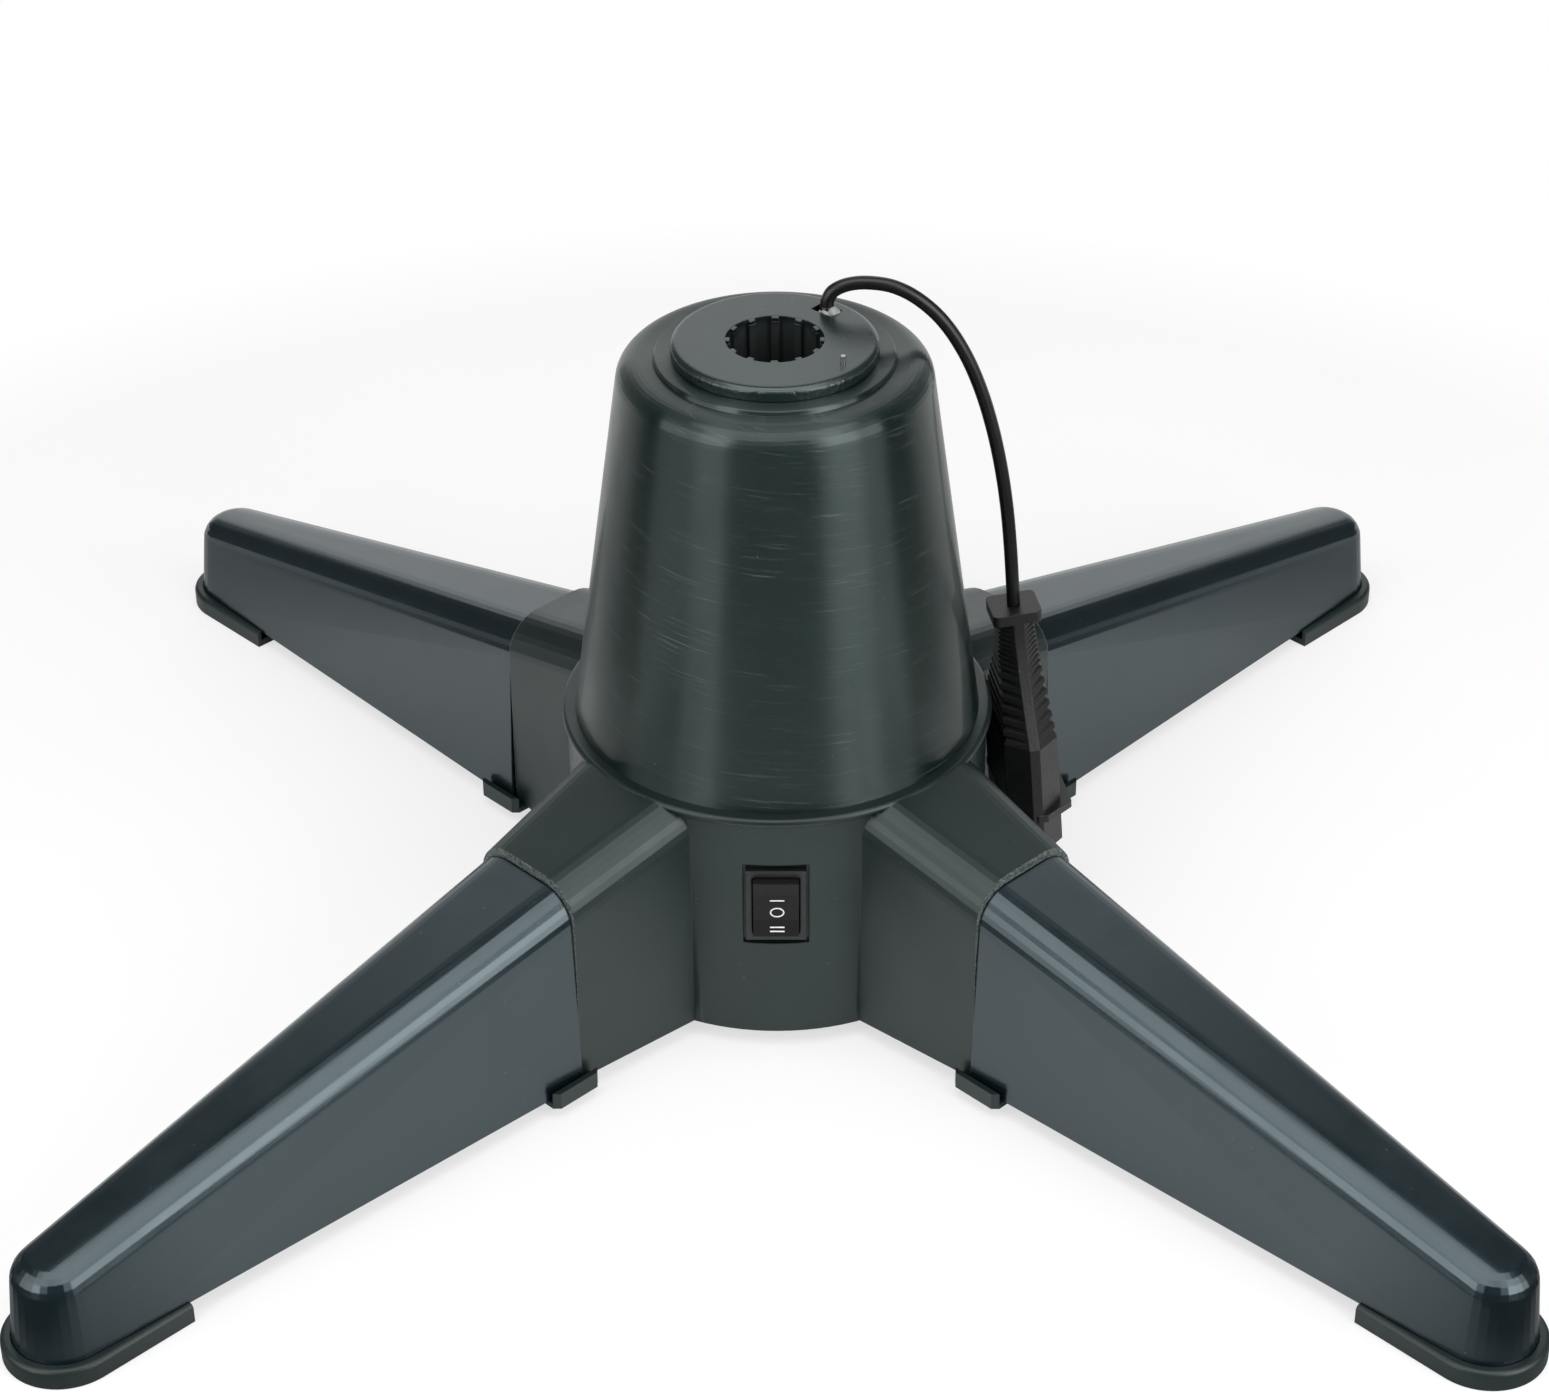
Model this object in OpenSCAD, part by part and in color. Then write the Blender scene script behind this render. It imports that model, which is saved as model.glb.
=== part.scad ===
// Rotating tree stand: a four-armed drum base with plug-in legs, a cone cover
// and a motor-driven turntable whose fluted socket takes the tree's pole.
// Millimetres. Z is up, the origin is on the floor under the drum's axis,
// the rocker switch faces -Y and the legs lie on the diagonals.

/* [Drum] */
// Outer radius of the drum wall
hub_r = 53.6; // [50:0.1:58]
// Wall thickness of the drum
hub_wall = 2.4; // [1.8:0.1:3]
// Height of the ledge that carries the cover, above the floor
hub_top = 70.6; // [66:0.1:76]
// Height of the drum's lower edge above the floor
ground_gap = 4.8; // [3.5:0.1:6.5]
// How far the rounded rim stands proud of the wall
rim_proud = 1.3; // [0.8:0.1:2]
// Height of the rim
rim_h = 2.4; // [2:0.1:3]
// Radius of the screw posts inside the drum
post_r = 4.2; // [3.6:0.1:5]
// Distance of the screw posts' middles from the edge of the gear deck
post_inset = 5.4; // [5:0.1:7]

/* [Arms] */
// Distance from the axis to an arm's open end
arm_reach = 85.7; // [80:0.1:92]
// Width of an arm where it leaves the drum
arm_root_w = 40.4; // [38:0.2:43]
// Width of an arm at its open end
arm_end_w = 33.8; // [32:0.2:36]
// Height of an arm's top at its open end, above the floor
arm_end_h = 62.1; // [58:0.1:66]
// Radius of an arm's top edges
arm_edge_r = 10; // [8:0.5:11]
// Wall thickness of an arm at its open end
arm_wall = 2.4; // [2:0.1:2.8]

/* [Leg hooks] */
// Length of a hook along the leg
hook_len = 15; // [12:0.5:18]
// How far a hook runs back along its arm
hook_lap = 3.6; // [3:0.1:5]
// Height of a hook's upright lip
hook_h = 4.6; // [4:0.1:6]
// Thickness of a hook
hook_t = 1.5; // [1.2:0.1:2]
// Space between the leg's side and the lip
hook_gap = 0.7; // [0.4:0.1:1.2]

/* [Legs] */
// Distance from the axis to the leg shell's outer end
leg_reach = 242.2; // [225:0.1:260]
// Width of a leg at its foot line beside the arm
leg_root_w = 36.8; // [35:0.2:38.5]
// Width of a leg's top beside the arm
leg_root_top_w = 32.6; // [31:0.2:34]
// Height of a leg's top beside the arm, above the floor
leg_root_h = 60; // [57:0.1:61]
// Radius of a leg's top edges beside the arm
leg_edge_r = 9; // [7:0.5:10]
// Radius of the leg's outer end at its foot line
leg_tip_r = 12.4; // [11:0.1:14]
// Radius of the leg's outer end under its top edge
leg_tip_top_r = 10.6; // [9.5:0.1:11]
// Height of the leg's outer end above the floor
leg_tip_h = 27.6; // [24:0.1:31]
// Radius of the top edge at the outer end
leg_tip_edge_r = 6.5; // [5:0.5:8]
// Wall thickness of a leg
leg_wall = 2.2; // [1.8:0.1:2.8]
// Length of the tongue that slides into the arm
tongue_len = 24; // [18:0.5:27]
// Clearance around the tongue
tongue_gap = 0.3; // [0.2:0.05:0.5]
// Open seam between an arm's end and the leg
seam_gap = 0.5; // [0.3:0.1:1]

/* [Foot shoes] */
// Distance from the axis to a shoe's inner end
foot_from = 204.2; // [195:0.1:212]
// How far a shoe stands proud of the leg's end
foot_proud = 2.35; // [1.8:0.05:3]
// Height of a shoe's rim
foot_h = 5.1; // [4.5:0.1:6.5]
// Thickness of a shoe's floor
foot_floor = 2; // [1.5:0.1:2.5]
// Radius of the rim's top edge
foot_edge_r = 1.3; // [0.8:0.1:1.6]
// Clearance between a shoe and its leg
foot_gap = 0.15; // [0.1:0.05:0.3]

/* [Cover] */
// Step from the drum's wall in to the cover's lower edge
cover_step = 2.1; // [1.6:0.1:3]
// Outer radius where the cover turns into its shoulder
cover_top_r = 38; // [36:0.1:41]
// Height of the cover from the ledge to its shoulder
cover_h = 98.4; // [88:0.1:108]
// Radius of the shoulder
shoulder_r = 6; // [4:0.5:7]
// Wall thickness of the cover
cover_wall = 2.2; // [1.8:0.1:2.6]
// Radius of the raised ring around the turntable
plateau_r = 29; // [28:0.1:30]
// Height of that ring above the shoulder
plateau_h = 1.2; // [0.8:0.1:2]
// Depth of the neck that holds the upper bush
neck_h = 11; // [9:0.5:14]
// Distance of the cover's screw bosses from its lower edge
boss_inset = 9; // [8.5:0.1:10]
// Radius of a screw boss
boss_r = 4; // [3.4:0.1:4.4]
// Length of a screw boss
boss_len = 15; // [12:0.5:20]

/* [Turntable] */
// Radius of the turntable's disc
disc_r = 25.2; // [25:0.1:27]
// Thickness of the disc
disc_h = 3.45; // [3:0.05:4.5]
// Radius of the disc's rounded edge
disc_edge_r = 1.6; // [1:0.1:2]
// Wall radius of the fluted pole socket
socket_r = 12; // [11:0.1:12.5]
// Number of flutes in the pole socket
rib_n = 12; // [8:1:14]
// Height of a rib between two flutes
rib_h = 1.15; // [0.8:0.05:1.5]
// Width of a rib
rib_w = 1.9; // [1.6:0.1:2.4]
// Outer radius of the pole tube
tube_r = 15.2; // [14.6:0.1:15.8]
// Outer radius of the drum that turns in the bush
journal_r = 23.4; // [23:0.1:23.8]
// Wall thickness of that drum
journal_wall = 1.5; // [1.2:0.1:1.8]
// Axial clearance under the disc
disc_gap = 0.25; // [0.1:0.05:0.4]
// Radial running clearance of the journals
run_gap = 0.06; // [0.03:0.01:0.09]
// Thickness of the upper bush
bush_wall = 1.3; // [1:0.1:1.6]
// Thickness of the retaining ring under the neck
ring_t = 1.4; // [1:0.1:2]

/* [Lead slot] */
// Direction of the lead's slot in the disc
slot_angle = 50; // [0:1:90]
// Distance of the slot from the axis
slot_at = 19.5; // [19:0.1:19.8]
// Width of the slot along the circle
slot_w = 6.5; // [5:0.1:8]
// Depth of the slot along the radius
slot_d = 4.2; // [3.8:0.1:4.6]
// Direction of the small marker pin on the disc
pin_angle = -37; // [-90:1:0]
// Distance of the marker pin from the axis
pin_at = 20.4; // [18:0.1:21]
// Radius of the marker pin
pin_r = 0.6; // [0.5:0.1:0.9]
// Height of the marker pin above the disc
pin_h = 2; // [1:0.1:3]

/* [Gears] */
// Module of the gear pair
gear_m = 1; // [0.9:0.05:1]
// Teeth of the ring gear on the turntable
ring_teeth = 54; // [48:2:54]
// Teeth of the pinion on the motor
drive_teeth = 15; // [13:1:16]
// Width of the teeth
gear_w = 8; // [6:0.5:9]
// Play between the teeth
backlash = 0.3; // [0.2:0.05:0.4]
// Pressure angle of the teeth
pressure_angle = 20; // [14.5:0.5:22]

/* [Drive] */
// Radius of the motor's can
motor_r = 24.5; // [22:0.5:25]
// Height of the motor's can
motor_h = 19; // [15:0.5:24]
// Distance from the can's centre to its shaft
shaft_offset = 14; // [12:0.5:16]
// Radius of the motor's shaft
shaft_r = 3; // [2.5:0.1:3.5]
// Thickness of the gear deck
deck_t = 2.6; // [2.2:0.1:3.2]
// Radius of the pivot pin under the turntable
pivot_r = 4; // [3:0.1:5]
// Height of the deck's boss round the pivot pin
pivot_boss_h = 5; // [4:0.5:6]
// Length of the pin's bearing in the turntable
pivot_len = 10; // [8:0.5:12]
// Thickness of the thrust washer
washer_t = 1.2; // [0.8:0.1:1.6]
// Thickness of the bottom plate
plate_t = 2.4; // [2:0.1:3]

/* [Slip rings] */
// Radius of the sleeve that carries the slip rings
sleeve_r = 17.4; // [17:0.1:18]
// Length of the sleeve
sleeve_len = 22; // [20:0.5:26]
// Height of one slip ring
band_h = 5; // [4:0.5:6]
// Thickness of a slip ring
band_t = 0.6; // [0.4:0.1:0.8]
// Gap between a brush and its ring
brush_gap = 0.3; // [0.2:0.05:0.5]

/* [Switch] */
// Width of the switch's bezel
bezel_w = 15; // [14:0.1:16]
// Height of the switch's bezel
bezel_h = 21; // [20:0.1:22]
// Thickness of the bezel
bezel_t = 2; // [1.5:0.1:2.5]
// Height of the switch's centre above the floor
switch_z = 44.5; // [38:0.1:50]
// Depth of the switch's body behind the bezel
switch_depth = 18; // [15:0.5:22]
// Width of the rocker
rocker_w = 11.4; // [10.8:0.1:11.6]
// Length of the rocker
rocker_len = 16.4; // [15.6:0.1:16.8]
// Depth of the rocker's axis behind the bezel's face
rocker_depth = 1.2; // [1:0.1:1.2]

/* [Fasteners] */
// Radius of a screw's shank
screw_r = 1.4; // [1.2:0.1:1.7]
// Radius of a screw's head
screw_head_r = 2.8; // [2.4:0.1:3.2]
// Height of a screw's head
screw_head_h = 1.8; // [1.4:0.1:2.2]
// Clearance round a screw's shank
screw_gap = 0.1; // [0.05:0.05:0.2]

/* [Light lead] */
// Diameter of the lead to the light socket
lead_d = 3.4; // [3:0.1:4]
// Length of the light socket
light_len = 66; // [60:1:74]
// Width of the socket's mouth
light_w = 35; // [33:0.5:37]
// Thickness of the socket's mouth
light_t = 14; // [13:0.5:15]
// Lean of the hanging socket
light_lean = 4.5; // [0:0.5:6]
// Turn of the socket about its own axis
light_turn = 10; // [0:1:20]

/* [Mains lead] */
// Diameter of the mains lead
mains_d = 5; // [4.6:0.1:5.4]
// Sideways place of the mains lead's exit
mains_x = -14; // [-15:0.5:-12]
// Height of the mains lead's exit
mains_z = 12; // [11:0.5:14]
// Length of the strain relief outside the drum
relief_len = 24; // [20:1:28]
// Turns in each layer of the coil
coil_turns = 2; // [2:1:3]
// Layers of the coil
coil_layers = 4; // [2:2:4]
// Free space between neighbouring turns
coil_gap = 0.6; // [0.5:0.1:0.8]
// Radius of the coil at the middle of its turns
coil_r = 27.5; // [27:0.5:29]

/* [Plug] */
// Width of the plug's body
plug_w = 35.4; // [34:0.2:37]
// Thickness of the plug's body
plug_t = 13.8; // [13:0.2:15]
// Length of the plug's plain block
plug_block = 15; // [13:0.5:17]
// Length of the plug's ribbed taper
plug_taper = 24; // [20:0.5:28]
// Length of the plug's own strain relief
plug_relief = 18; // [14:0.5:22]
// Radius of a pin
prong_r = 2; // [1.9:0.05:2.1]
// Radius of a pin's core inside its sleeve
prong_core_r = 1.5; // [1.4:0.05:1.6]
// Length of a pin's sleeve
sleeve_on_pin = 10; // [8:0.5:11]
// Length of a pin outside the plug
prong_len = 19; // [18:0.5:20]
// Distance between the pins at the plug's face
prong_pitch = 18.6; // [18:0.1:19.2]
// Lean of each pin towards the other
prong_lean = 1.6; // [0:0.1:2]
// Fine ribs on each wide side of the plug
plug_fine = 8; // [6:1:10]

/* [Hidden] */
$fn = 96;
e = 0.01;          // overlap that fuses two pieces of one solid
cut = 1;           // how far a cutter runs past a face
hull_fn = 32;      // sides of the round children of a hull

green = [0.12, 0.17, 0.16];
gloss_green = [0.09, 0.14, 0.14];
black = [0.07, 0.07, 0.08];
white = [0.93, 0.93, 0.92];
steel = [0.75, 0.76, 0.78];
brass = [0.80, 0.62, 0.30];
copper = [0.78, 0.45, 0.28];
nylon = [0.88, 0.86, 0.78];
zinc = [0.62, 0.64, 0.67];
cardboard = [0.45, 0.42, 0.36];

// Directions of the legs, in the order front left, front right, back right, back left
leg_at = [225, 315, 45, 135];
boss_dirs = [0, 180, 270];
drive_dir = 90;
wire_dir = drive_dir + 22;
gear_screw_dirs = [0, 120, 240];

// Drum and deck
hub_in_r = hub_r - hub_wall;
rim_r = hub_r + rim_proud;
cover_base_r = hub_r - cover_step;
seat_r = cover_base_r - cover_wall + 0.3;    // bore of the ledge under the cover
deck_r = seat_r - 0.2;
post_at = deck_r - post_inset;
boss_at = cover_base_r - boss_inset;
deck_top = hub_top - 1.6;
deck_under = deck_top - deck_t;
plate_under = ground_gap;
plate_top = plate_under + plate_t;

// Arms: the top falls in a straight line from the ledge to the open end
arm_root_x = sqrt(pow(hub_r, 2) - pow(arm_root_w / 2, 2));
arm_fall = atan2(hub_top - arm_end_h, arm_reach - cover_base_r - 1);
channel_w = arm_end_w - 2 * arm_wall;
channel_h = arm_end_h - arm_wall;
channel_r = arm_edge_r - arm_wall;

// Legs
leg_start = arm_reach + seam_gap;
tip_x = leg_reach - leg_tip_r;
foot_r = leg_tip_r + foot_proud;

// Cover and turntable, from the ledge upwards
shoulder_z = hub_top + cover_h;
plateau_z = shoulder_z + plateau_h;
disc_under = plateau_z + disc_gap;
disc_top = disc_under + disc_h;
bush_in_r = journal_r + run_gap;
bush_r = bush_in_r + bush_wall;
neck_r = bush_r + cover_wall;
neck_ledge_h = 1;
ring_z = plateau_z - neck_h - ring_t - disc_gap;
ring_groove = 0.6;                           // depth of the ring's groove in the journal
journal_low = ring_z - 1.2;

// Pivot and gears, from the deck upwards
washer_z = deck_top + pivot_boss_h;
tube_under = washer_z + washer_t + 0.1;
pole_floor = tube_under + pivot_len + 2;
gear_z = tube_under + 3.5;
flange_z = gear_z + gear_w;
flange_t = 2.5;
gear_head_r = 2.3;
gear_screw_at = tube_r + gear_head_r + 0.4;
flange_r = gear_screw_at + gear_head_r + 0.2;
ring_pitch_r = gear_m * ring_teeth / 2;
drive_pitch_r = gear_m * drive_teeth / 2;
gear_centres = ring_pitch_r + drive_pitch_r;

// Slip rings
sleeve_z = ring_z - sleeve_len - 6;
band_z = [sleeve_z + sleeve_len / 4 - band_h / 2, sleeve_z + sleeve_len * 3 / 4 - band_h / 2];
band_r = sleeve_r + band_t;
brush_dir = 90;

// Switch
pocket_y = -hub_r + 1.7;
bezel_face = pocket_y - bezel_t;
rocker_axis_y = bezel_face + rocker_depth;
rocker_gap = 0.3;
rocker_pin_r = 0.7;

// Screws
function pilot(r) = r + screw_gap;

// The lead hangs from the disc's slot down to the light socket
light_top = [60.2, 10, 92.5];
anchor_top = disc_top + 1.2;
lead_route = [
    [12.6, 15, anchor_top], [12.8, 15, 176.8], [14.3, 15.1, 179.1], [18, 15.2, 180.8],
    [23, 15.1, 181.2], [29, 14.9, 180.1], [35, 14.6, 176.8], [41, 14.2, 171],
    [46.4, 13.8, 162.4], [50.6, 13.3, 152.4], [53.8, 12.6, 141.6], [56.2, 11.9, 130.4],
    [57.9, 11.1, 119.2], [59, 10.4, 108.4], [59.7, 10, 99.4], light_top
];

// The mains lead runs from its strain relief to the coil behind the drum
coil_at = [8, 142];
coil_pitch = mains_d + coil_gap;
coil_out_r = coil_r + coil_pitch * coil_turns / 2;
coil_in_r = coil_r - coil_pitch * coil_turns / 2;
exit_y = sqrt(pow(hub_r, 2) - pow(mains_x, 2));
relief_end = exit_y + relief_len;
coil_steps = 24;
coil_start = [coil_at[0] - coil_out_r, coil_at[1], mains_d / 2 + 0.1];
mains_route = [
    [mains_x, relief_end, mains_z], [-14, 79.5, 11.9], [-14.3, 85.4, 11], [-15, 92, 9.1],
    [-16.2, 98.5, 6.7], [-17.8, 105, 4.7], [-19.6, 111.5, 3.3], [-21.4, 118, 2.7],
    [-23, 125, 2.6], [-24.3, 132, 2.6], [-25, 138.3, 2.6], coil_start
];

// A coil winds in and out again, layer on layer, at a steady rate
function fold(t) = let(k = floor(t / coil_turns), f = t / coil_turns - k)
    k % 2 == 0 ? f : 1 - f;
function climb(t) = let(k = floor(t / coil_turns + 0.5), f = t - k * coil_turns)
    k == 0 ? 0 : k >= coil_layers ? coil_layers - 1
    : k - 1 + (abs(f) >= 0.25 ? (f < 0 ? 0 : 1) : (1 + sin(f * 360)) / 2);
function coil_point(t) = let(r = coil_out_r - (coil_out_r - coil_in_r) * fold(t), a = 180 - 360 * t)
    [coil_at[0] + r * cos(a), coil_at[1] + r * sin(a), coil_start[2] + coil_pitch * climb(t)];
coil_count = coil_turns * coil_layers * coil_steps;
coil_route = [for (i = [0:coil_count]) coil_point(i / coil_steps)];

// Least gap between parts of the coil more than a third of a turn apart
function far_min(i) = min([for (j = [i + coil_steps / 3:coil_count]) norm(coil_route[i] - coil_route[j])]);
echo(least_gap_in_coil = min([for (i = [0:coil_count - coil_steps / 3]) far_min(i)]) - mains_d);

// The tail climbs over the coil to the plug that lies on it
coil_top = coil_start[2] + coil_pitch * (coil_layers - 1) + mains_d / 2;
plug_axis_z = coil_top + 0.2 + plug_t / 2;
plug_len = plug_block + plug_taper + plug_relief;
plug_at = [15, 152, plug_axis_z];
mains_tail_route = [
    coil_route[coil_count], [-25.1, 147, 19.8], [-25, 152.5, 20.8], [-23.9, 158.8, 22.4],
    [-20.4, 164.9, 24.1], [-15.1, 169.3, 25.4], [-8.6, 171.7, 26.3], [-1.6, 171.7, 27],
    [4.9, 169.3, 27.7], [10.2, 164.9, 28.3], [13.6, 159.6, 28.8], [14.9, 155.5, 29], plug_at
];

// Sweeps a tube of n sides along a route; ref is never along the route
function unit(v) = v / norm(v);
function tangent(p, i) = unit(p[min(i + 1, len(p) - 1)] - p[max(i - 1, 0)]);
function ring_at(p, i, r, n, ref) =
    let(t = tangent(p, i), u = unit(cross(ref, t)), v = cross(t, u))
    [for (k = [0:n - 1]) p[i] + r * (cos(360 * k / n) * u + sin(360 * k / n) * v)];
module tube(p, d, n, ref) {
    m = len(p);
    points = [for (i = [0:m - 1]) each ring_at(p, i, d / 2, n, ref)];
    sides = [for (i = [0:m - 2], k = [0:n - 1]) let(a = i * n + k, b = i * n + (k + 1) % n)
        each [[a, b, b + n], [a, b + n, a + n]]];
    caps = [for (k = [1:n - 2]) each [[0, k + 1, k], [(m - 1) * n, (m - 1) * n + k, (m - 1) * n + k + 1]]];
    polyhedron(points = points, faces = concat(sides, caps), convexity = 10);
}

// Profile of the cover's cone and shoulder at a depth under its outer surface
cone_lean = atan2(cover_base_r - cover_top_r, cover_h);
shoulder_c = cover_top_r - shoulder_r * (1 - sin(cone_lean)) / cos(cone_lean);
function cone_arc(depth) = [for (i = [0:8]) let(a = cone_lean + (90 - cone_lean) * i / 8)
    [shoulder_c + (shoulder_r - depth) * cos(a), shoulder_z - shoulder_r + (shoulder_r - depth) * sin(a)]];
function reversed(v) = [for (i = [len(v) - 1:-1:0]) v[i]];

// Sizes of the inner pieces that no outside size sets
hook_drop = 0.2;          // hook's floor below the leg's edge
foot_lap = 2;             // how far the shoe takes in the leg's raised edge
pocket_w = 16.4;
pocket_h = 24;
switch_w = bezel_w - 2;
switch_h = bezel_h - 2;
collar_r = shaft_r + 2;
shaft_in = 6;
pinion_collar = 4;
ear_at = motor_r + 4.5;
ear_r = 3.5;
ear_t = 1;
pad_at = 35;
holder_t = 3;
holder_w = 18;
screw_len = 9;
slit_n = 3;
slit_w = 2;
slit_pitch = slit_w * 3;
slit_from = 8;
slit_len = post_at - slit_from * 2;
brush_w = 4;
block_at = [0, -16];
block_l = 30;
block_w = 17;
relief_neck_r = 4.4;
relief_tip_r = 3.2;
relief_grooves = 6;
plug_tip_r = 3.6;
plug_neck_w = 11;
plug_coarse = 5;
boat_bevel = 5;           // depth of the two bevels that narrow a flat body's ends
boat_edge = 2.6;          // width of the blunt edge between them
grip_depth = 0.8;
grip_form = [[0.1, 0], [0.3, 1], [0.7, 1], [0.9, 0]];
waist_curve = 1.5;
prong_root = 9.5;
prong_shoulder = 0.3;
prong_step = 0.25;        // how far the sleeve lies under the bare tip's surface
light_collar_h = 3;
light_collar_w = 12.6;
light_collar_t = 11;
light_taper = 34;
light_neck_w = 11;
light_neck_t = 9;
light_fine = 9;
light_coarse = 6;
light_mouth = 9.5;
light_flange = 2.2;
light_wall = 1.8;
light_recess = 4;
contact_r = 2.7;
contact_len = 14;

// Arch of two legs and rounded top corners, drawn in y and z
module arch(w_low, w_high, z_low, z_high, r) polygon(concat(
    [[w_low / 2, z_low]],
    [for (a = [0:10:90]) [w_high / 2 - r + r * cos(a), z_high - r + r * sin(a)]],
    [for (a = [90:10:180]) [r - w_high / 2 + r * cos(a), z_high - r + r * sin(a)]],
    [[-w_low / 2, z_low]]
));

// Stands a drawing in y and z at distance x from the axis and gives it a length
module along_x(x, length) translate([x, 0, 0]) rotate([90, 0, 90]) linear_extrude(length) children();

// Copies at a radius in the given directions
module around(dirs, r) for (a = dirs) rotate([0, 0, a]) translate([r, 0, 0]) children();

// Ring between two radii
module ring(r_in, r_out, h) difference() {
    cylinder(r = r_out, h = h);
    translate([0, 0, -cut]) cylinder(r = r_in, h = h + 2 * cut);
}

// Cross-head screw: its head stands on z = 0 and its shank goes down
module screw(length, head_r = screw_head_r) {
    difference() {
        cylinder(r = head_r, h = screw_head_h);
        for (a = [0, 90]) rotate([0, 0, a])
            translate([-head_r * 0.6, -0.35, screw_head_h - 0.8]) cube([head_r * 1.2, 0.7, 2]);
    }
    translate([0, 0, -length]) cylinder(r = screw_r, h = length + e);
}

// Involute spur gear
function inv(a) = tan(a) * 180 / PI - a;
function flank(rp, r, half) = let(rb = rp * cos(pressure_angle))
    half + inv(pressure_angle) - (r > rb ? inv(acos(rb / r)) : 0);
module gear(teeth) {
    rp = gear_m * teeth / 2;
    root = rp - gear_m * 1.25;
    tip = rp + gear_m * 0.9;
    base = max(root, rp * cos(pressure_angle));
    half = 90 / teeth - backlash / 4 / rp * 180 / PI;
    radii = [root, base + (tip - base) * 0.15, (base + tip) / 2, tip];
    linear_extrude(gear_w) polygon([for (k = [0:teeth - 1], i = [0:7])
        let(j = i < 4 ? i : 7 - i, a = 360 * k / teeth + (i < 4 ? -1 : 1) * flank(rp, radii[j], half))
        radii[j] * [cos(a), sin(a)]]);
}

// Outside of one arm, cut off where the cover stands
module arm_outside() {
    start = arm_root_x - hub_wall;
    difference() {
        hull() {
            along_x(start, e) arch(arm_root_w, arm_root_w, ground_gap,
                arm_end_h + (arm_reach - start) * tan(arm_fall), arm_edge_r);
            along_x(arm_reach - e, e) arch(arm_end_w, arm_end_w, ground_gap, arm_end_h, arm_edge_r);
        }
        translate([0, 0, hub_top]) cylinder(r = rim_r, h = hub_wall * 4);
    }
}

// Parallel channel for a leg's tongue, open downwards; grow widens it
module channel(x_low, x_high, grow) intersection() {
    translate([arm_reach, 0, channel_h + grow]) rotate([0, arm_fall, 0])
        translate([0, 0, -channel_h - grow]) along_x(-arm_reach, arm_reach * 2)
        arch(channel_w + 2 * grow, channel_w + 2 * grow, -hub_top, channel_h + grow, channel_r + grow);
    translate([x_low, -channel_w, -cut]) cube([x_high - x_low, channel_w * 2, hub_top + cut]);
}

// Hook under a leg's lower edge, with a lip beside it
module hook() {
    inner = channel_w / 2 + 0.3;
    lip = leg_root_w / 2 + hook_gap;
    outer = lip + hook_t;
    low = ground_gap - hook_drop - hook_t;
    translate([arm_reach - hook_lap, 0, low]) {
        difference() {
            linear_extrude(hook_h) polygon([
                [0, inner], [0, outer - hook_t], [hook_t, outer],
                [hook_len - hook_t, outer], [hook_len, outer - hook_t], [hook_len, inner]
            ]);
            translate([-cut, inner - cut, hook_t]) cube([hook_len + 2 * cut, lip - inner + cut, hook_h]);
        }
        translate([0, inner, hook_t - e]) cube([hook_lap, arm_wall - 0.6, hook_drop + 2 * e]);
    }
}

module hub_body() color(green) difference() {
    union() {
        translate([0, 0, ground_gap]) cylinder(r = hub_r, h = hub_top - ground_gap);
        rotate_extrude() polygon(concat(
            [[hub_in_r, hub_top], [hub_in_r, hub_top - rim_h]],
            [for (a = [-90:15:90])
                [rim_r - rim_h / 2 + rim_h / 2 * cos(a), hub_top + rim_h / 2 * (sin(a) - 1)]]
        ));
        for (a = leg_at) rotate([0, 0, a]) {
            arm_outside();
            for (m = [0, 1]) mirror([0, m, 0]) hook();
        }
    }
    difference() {
        translate([0, 0, -cut]) cylinder(r = hub_in_r, h = deck_top - 0.8 + cut);
        translate([0, 0, plate_top]) around(leg_at, post_at) {
            cylinder(r = post_r, h = deck_under - plate_top);
            translate([0, -hub_wall / 2, 0]) cube([hub_r - post_at, hub_wall, deck_under - plate_top]);
        }
    }
    translate([0, 0, hub_top - 3]) cylinder(r = seat_r, h = 3 + cut);
    around(leg_at, post_at) cylinder(r = pilot(screw_r), h = hub_top);
    for (a = leg_at) rotate([0, 0, a]) channel(hub_r + 1, arm_reach + cut, 0);
    // place of the switch
    translate([0, pocket_y, switch_z]) {
        translate([-pocket_w / 2, -hub_r, -pocket_h / 2]) cube([pocket_w, hub_r, pocket_h]);
        translate([-switch_w / 2 - 0.1, -cut, -switch_h / 2 - 0.1])
            cube([switch_w + 0.2, hub_r / 2, switch_h + 0.2]);
    }
    // hole of the mains lead
    translate([mains_x, 0, mains_z]) rotate([-90, 0, 0]) cylinder(r = relief_neck_r, h = hub_r + cut);
}

module bottom_plate() color(green) difference() {
    translate([0, 0, plate_under]) union() {
        cylinder(r = hub_in_r - 0.2, h = plate_t);
        // peg the terminal block stands between
        for (m = [-1, 1]) translate([block_at[0] + m * (block_l / 2 + 1.2), block_at[1], 0])
            cylinder(r = 1, h = plate_t + 4);
    }
    around(leg_at, post_at) translate([0, 0, -cut]) cylinder(r = pilot(screw_r), h = hub_top);
    around(leg_at, post_at) translate([0, 0, plate_under - cut])
        cylinder(r = screw_head_r + 0.2, h = cut + plate_t / 2);
    // air slits under the motor
    for (i = [-slit_n:slit_n]) translate([i * slit_pitch - slit_w / 2, slit_from, 0])
        cube([slit_w, slit_len, hub_top]);
}

module bottom_screws() color(zinc) around(leg_at, post_at)
    translate([0, 0, plate_under + plate_t / 2]) rotate([180, 0, 0]) screw_flat(screw_len);

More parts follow.
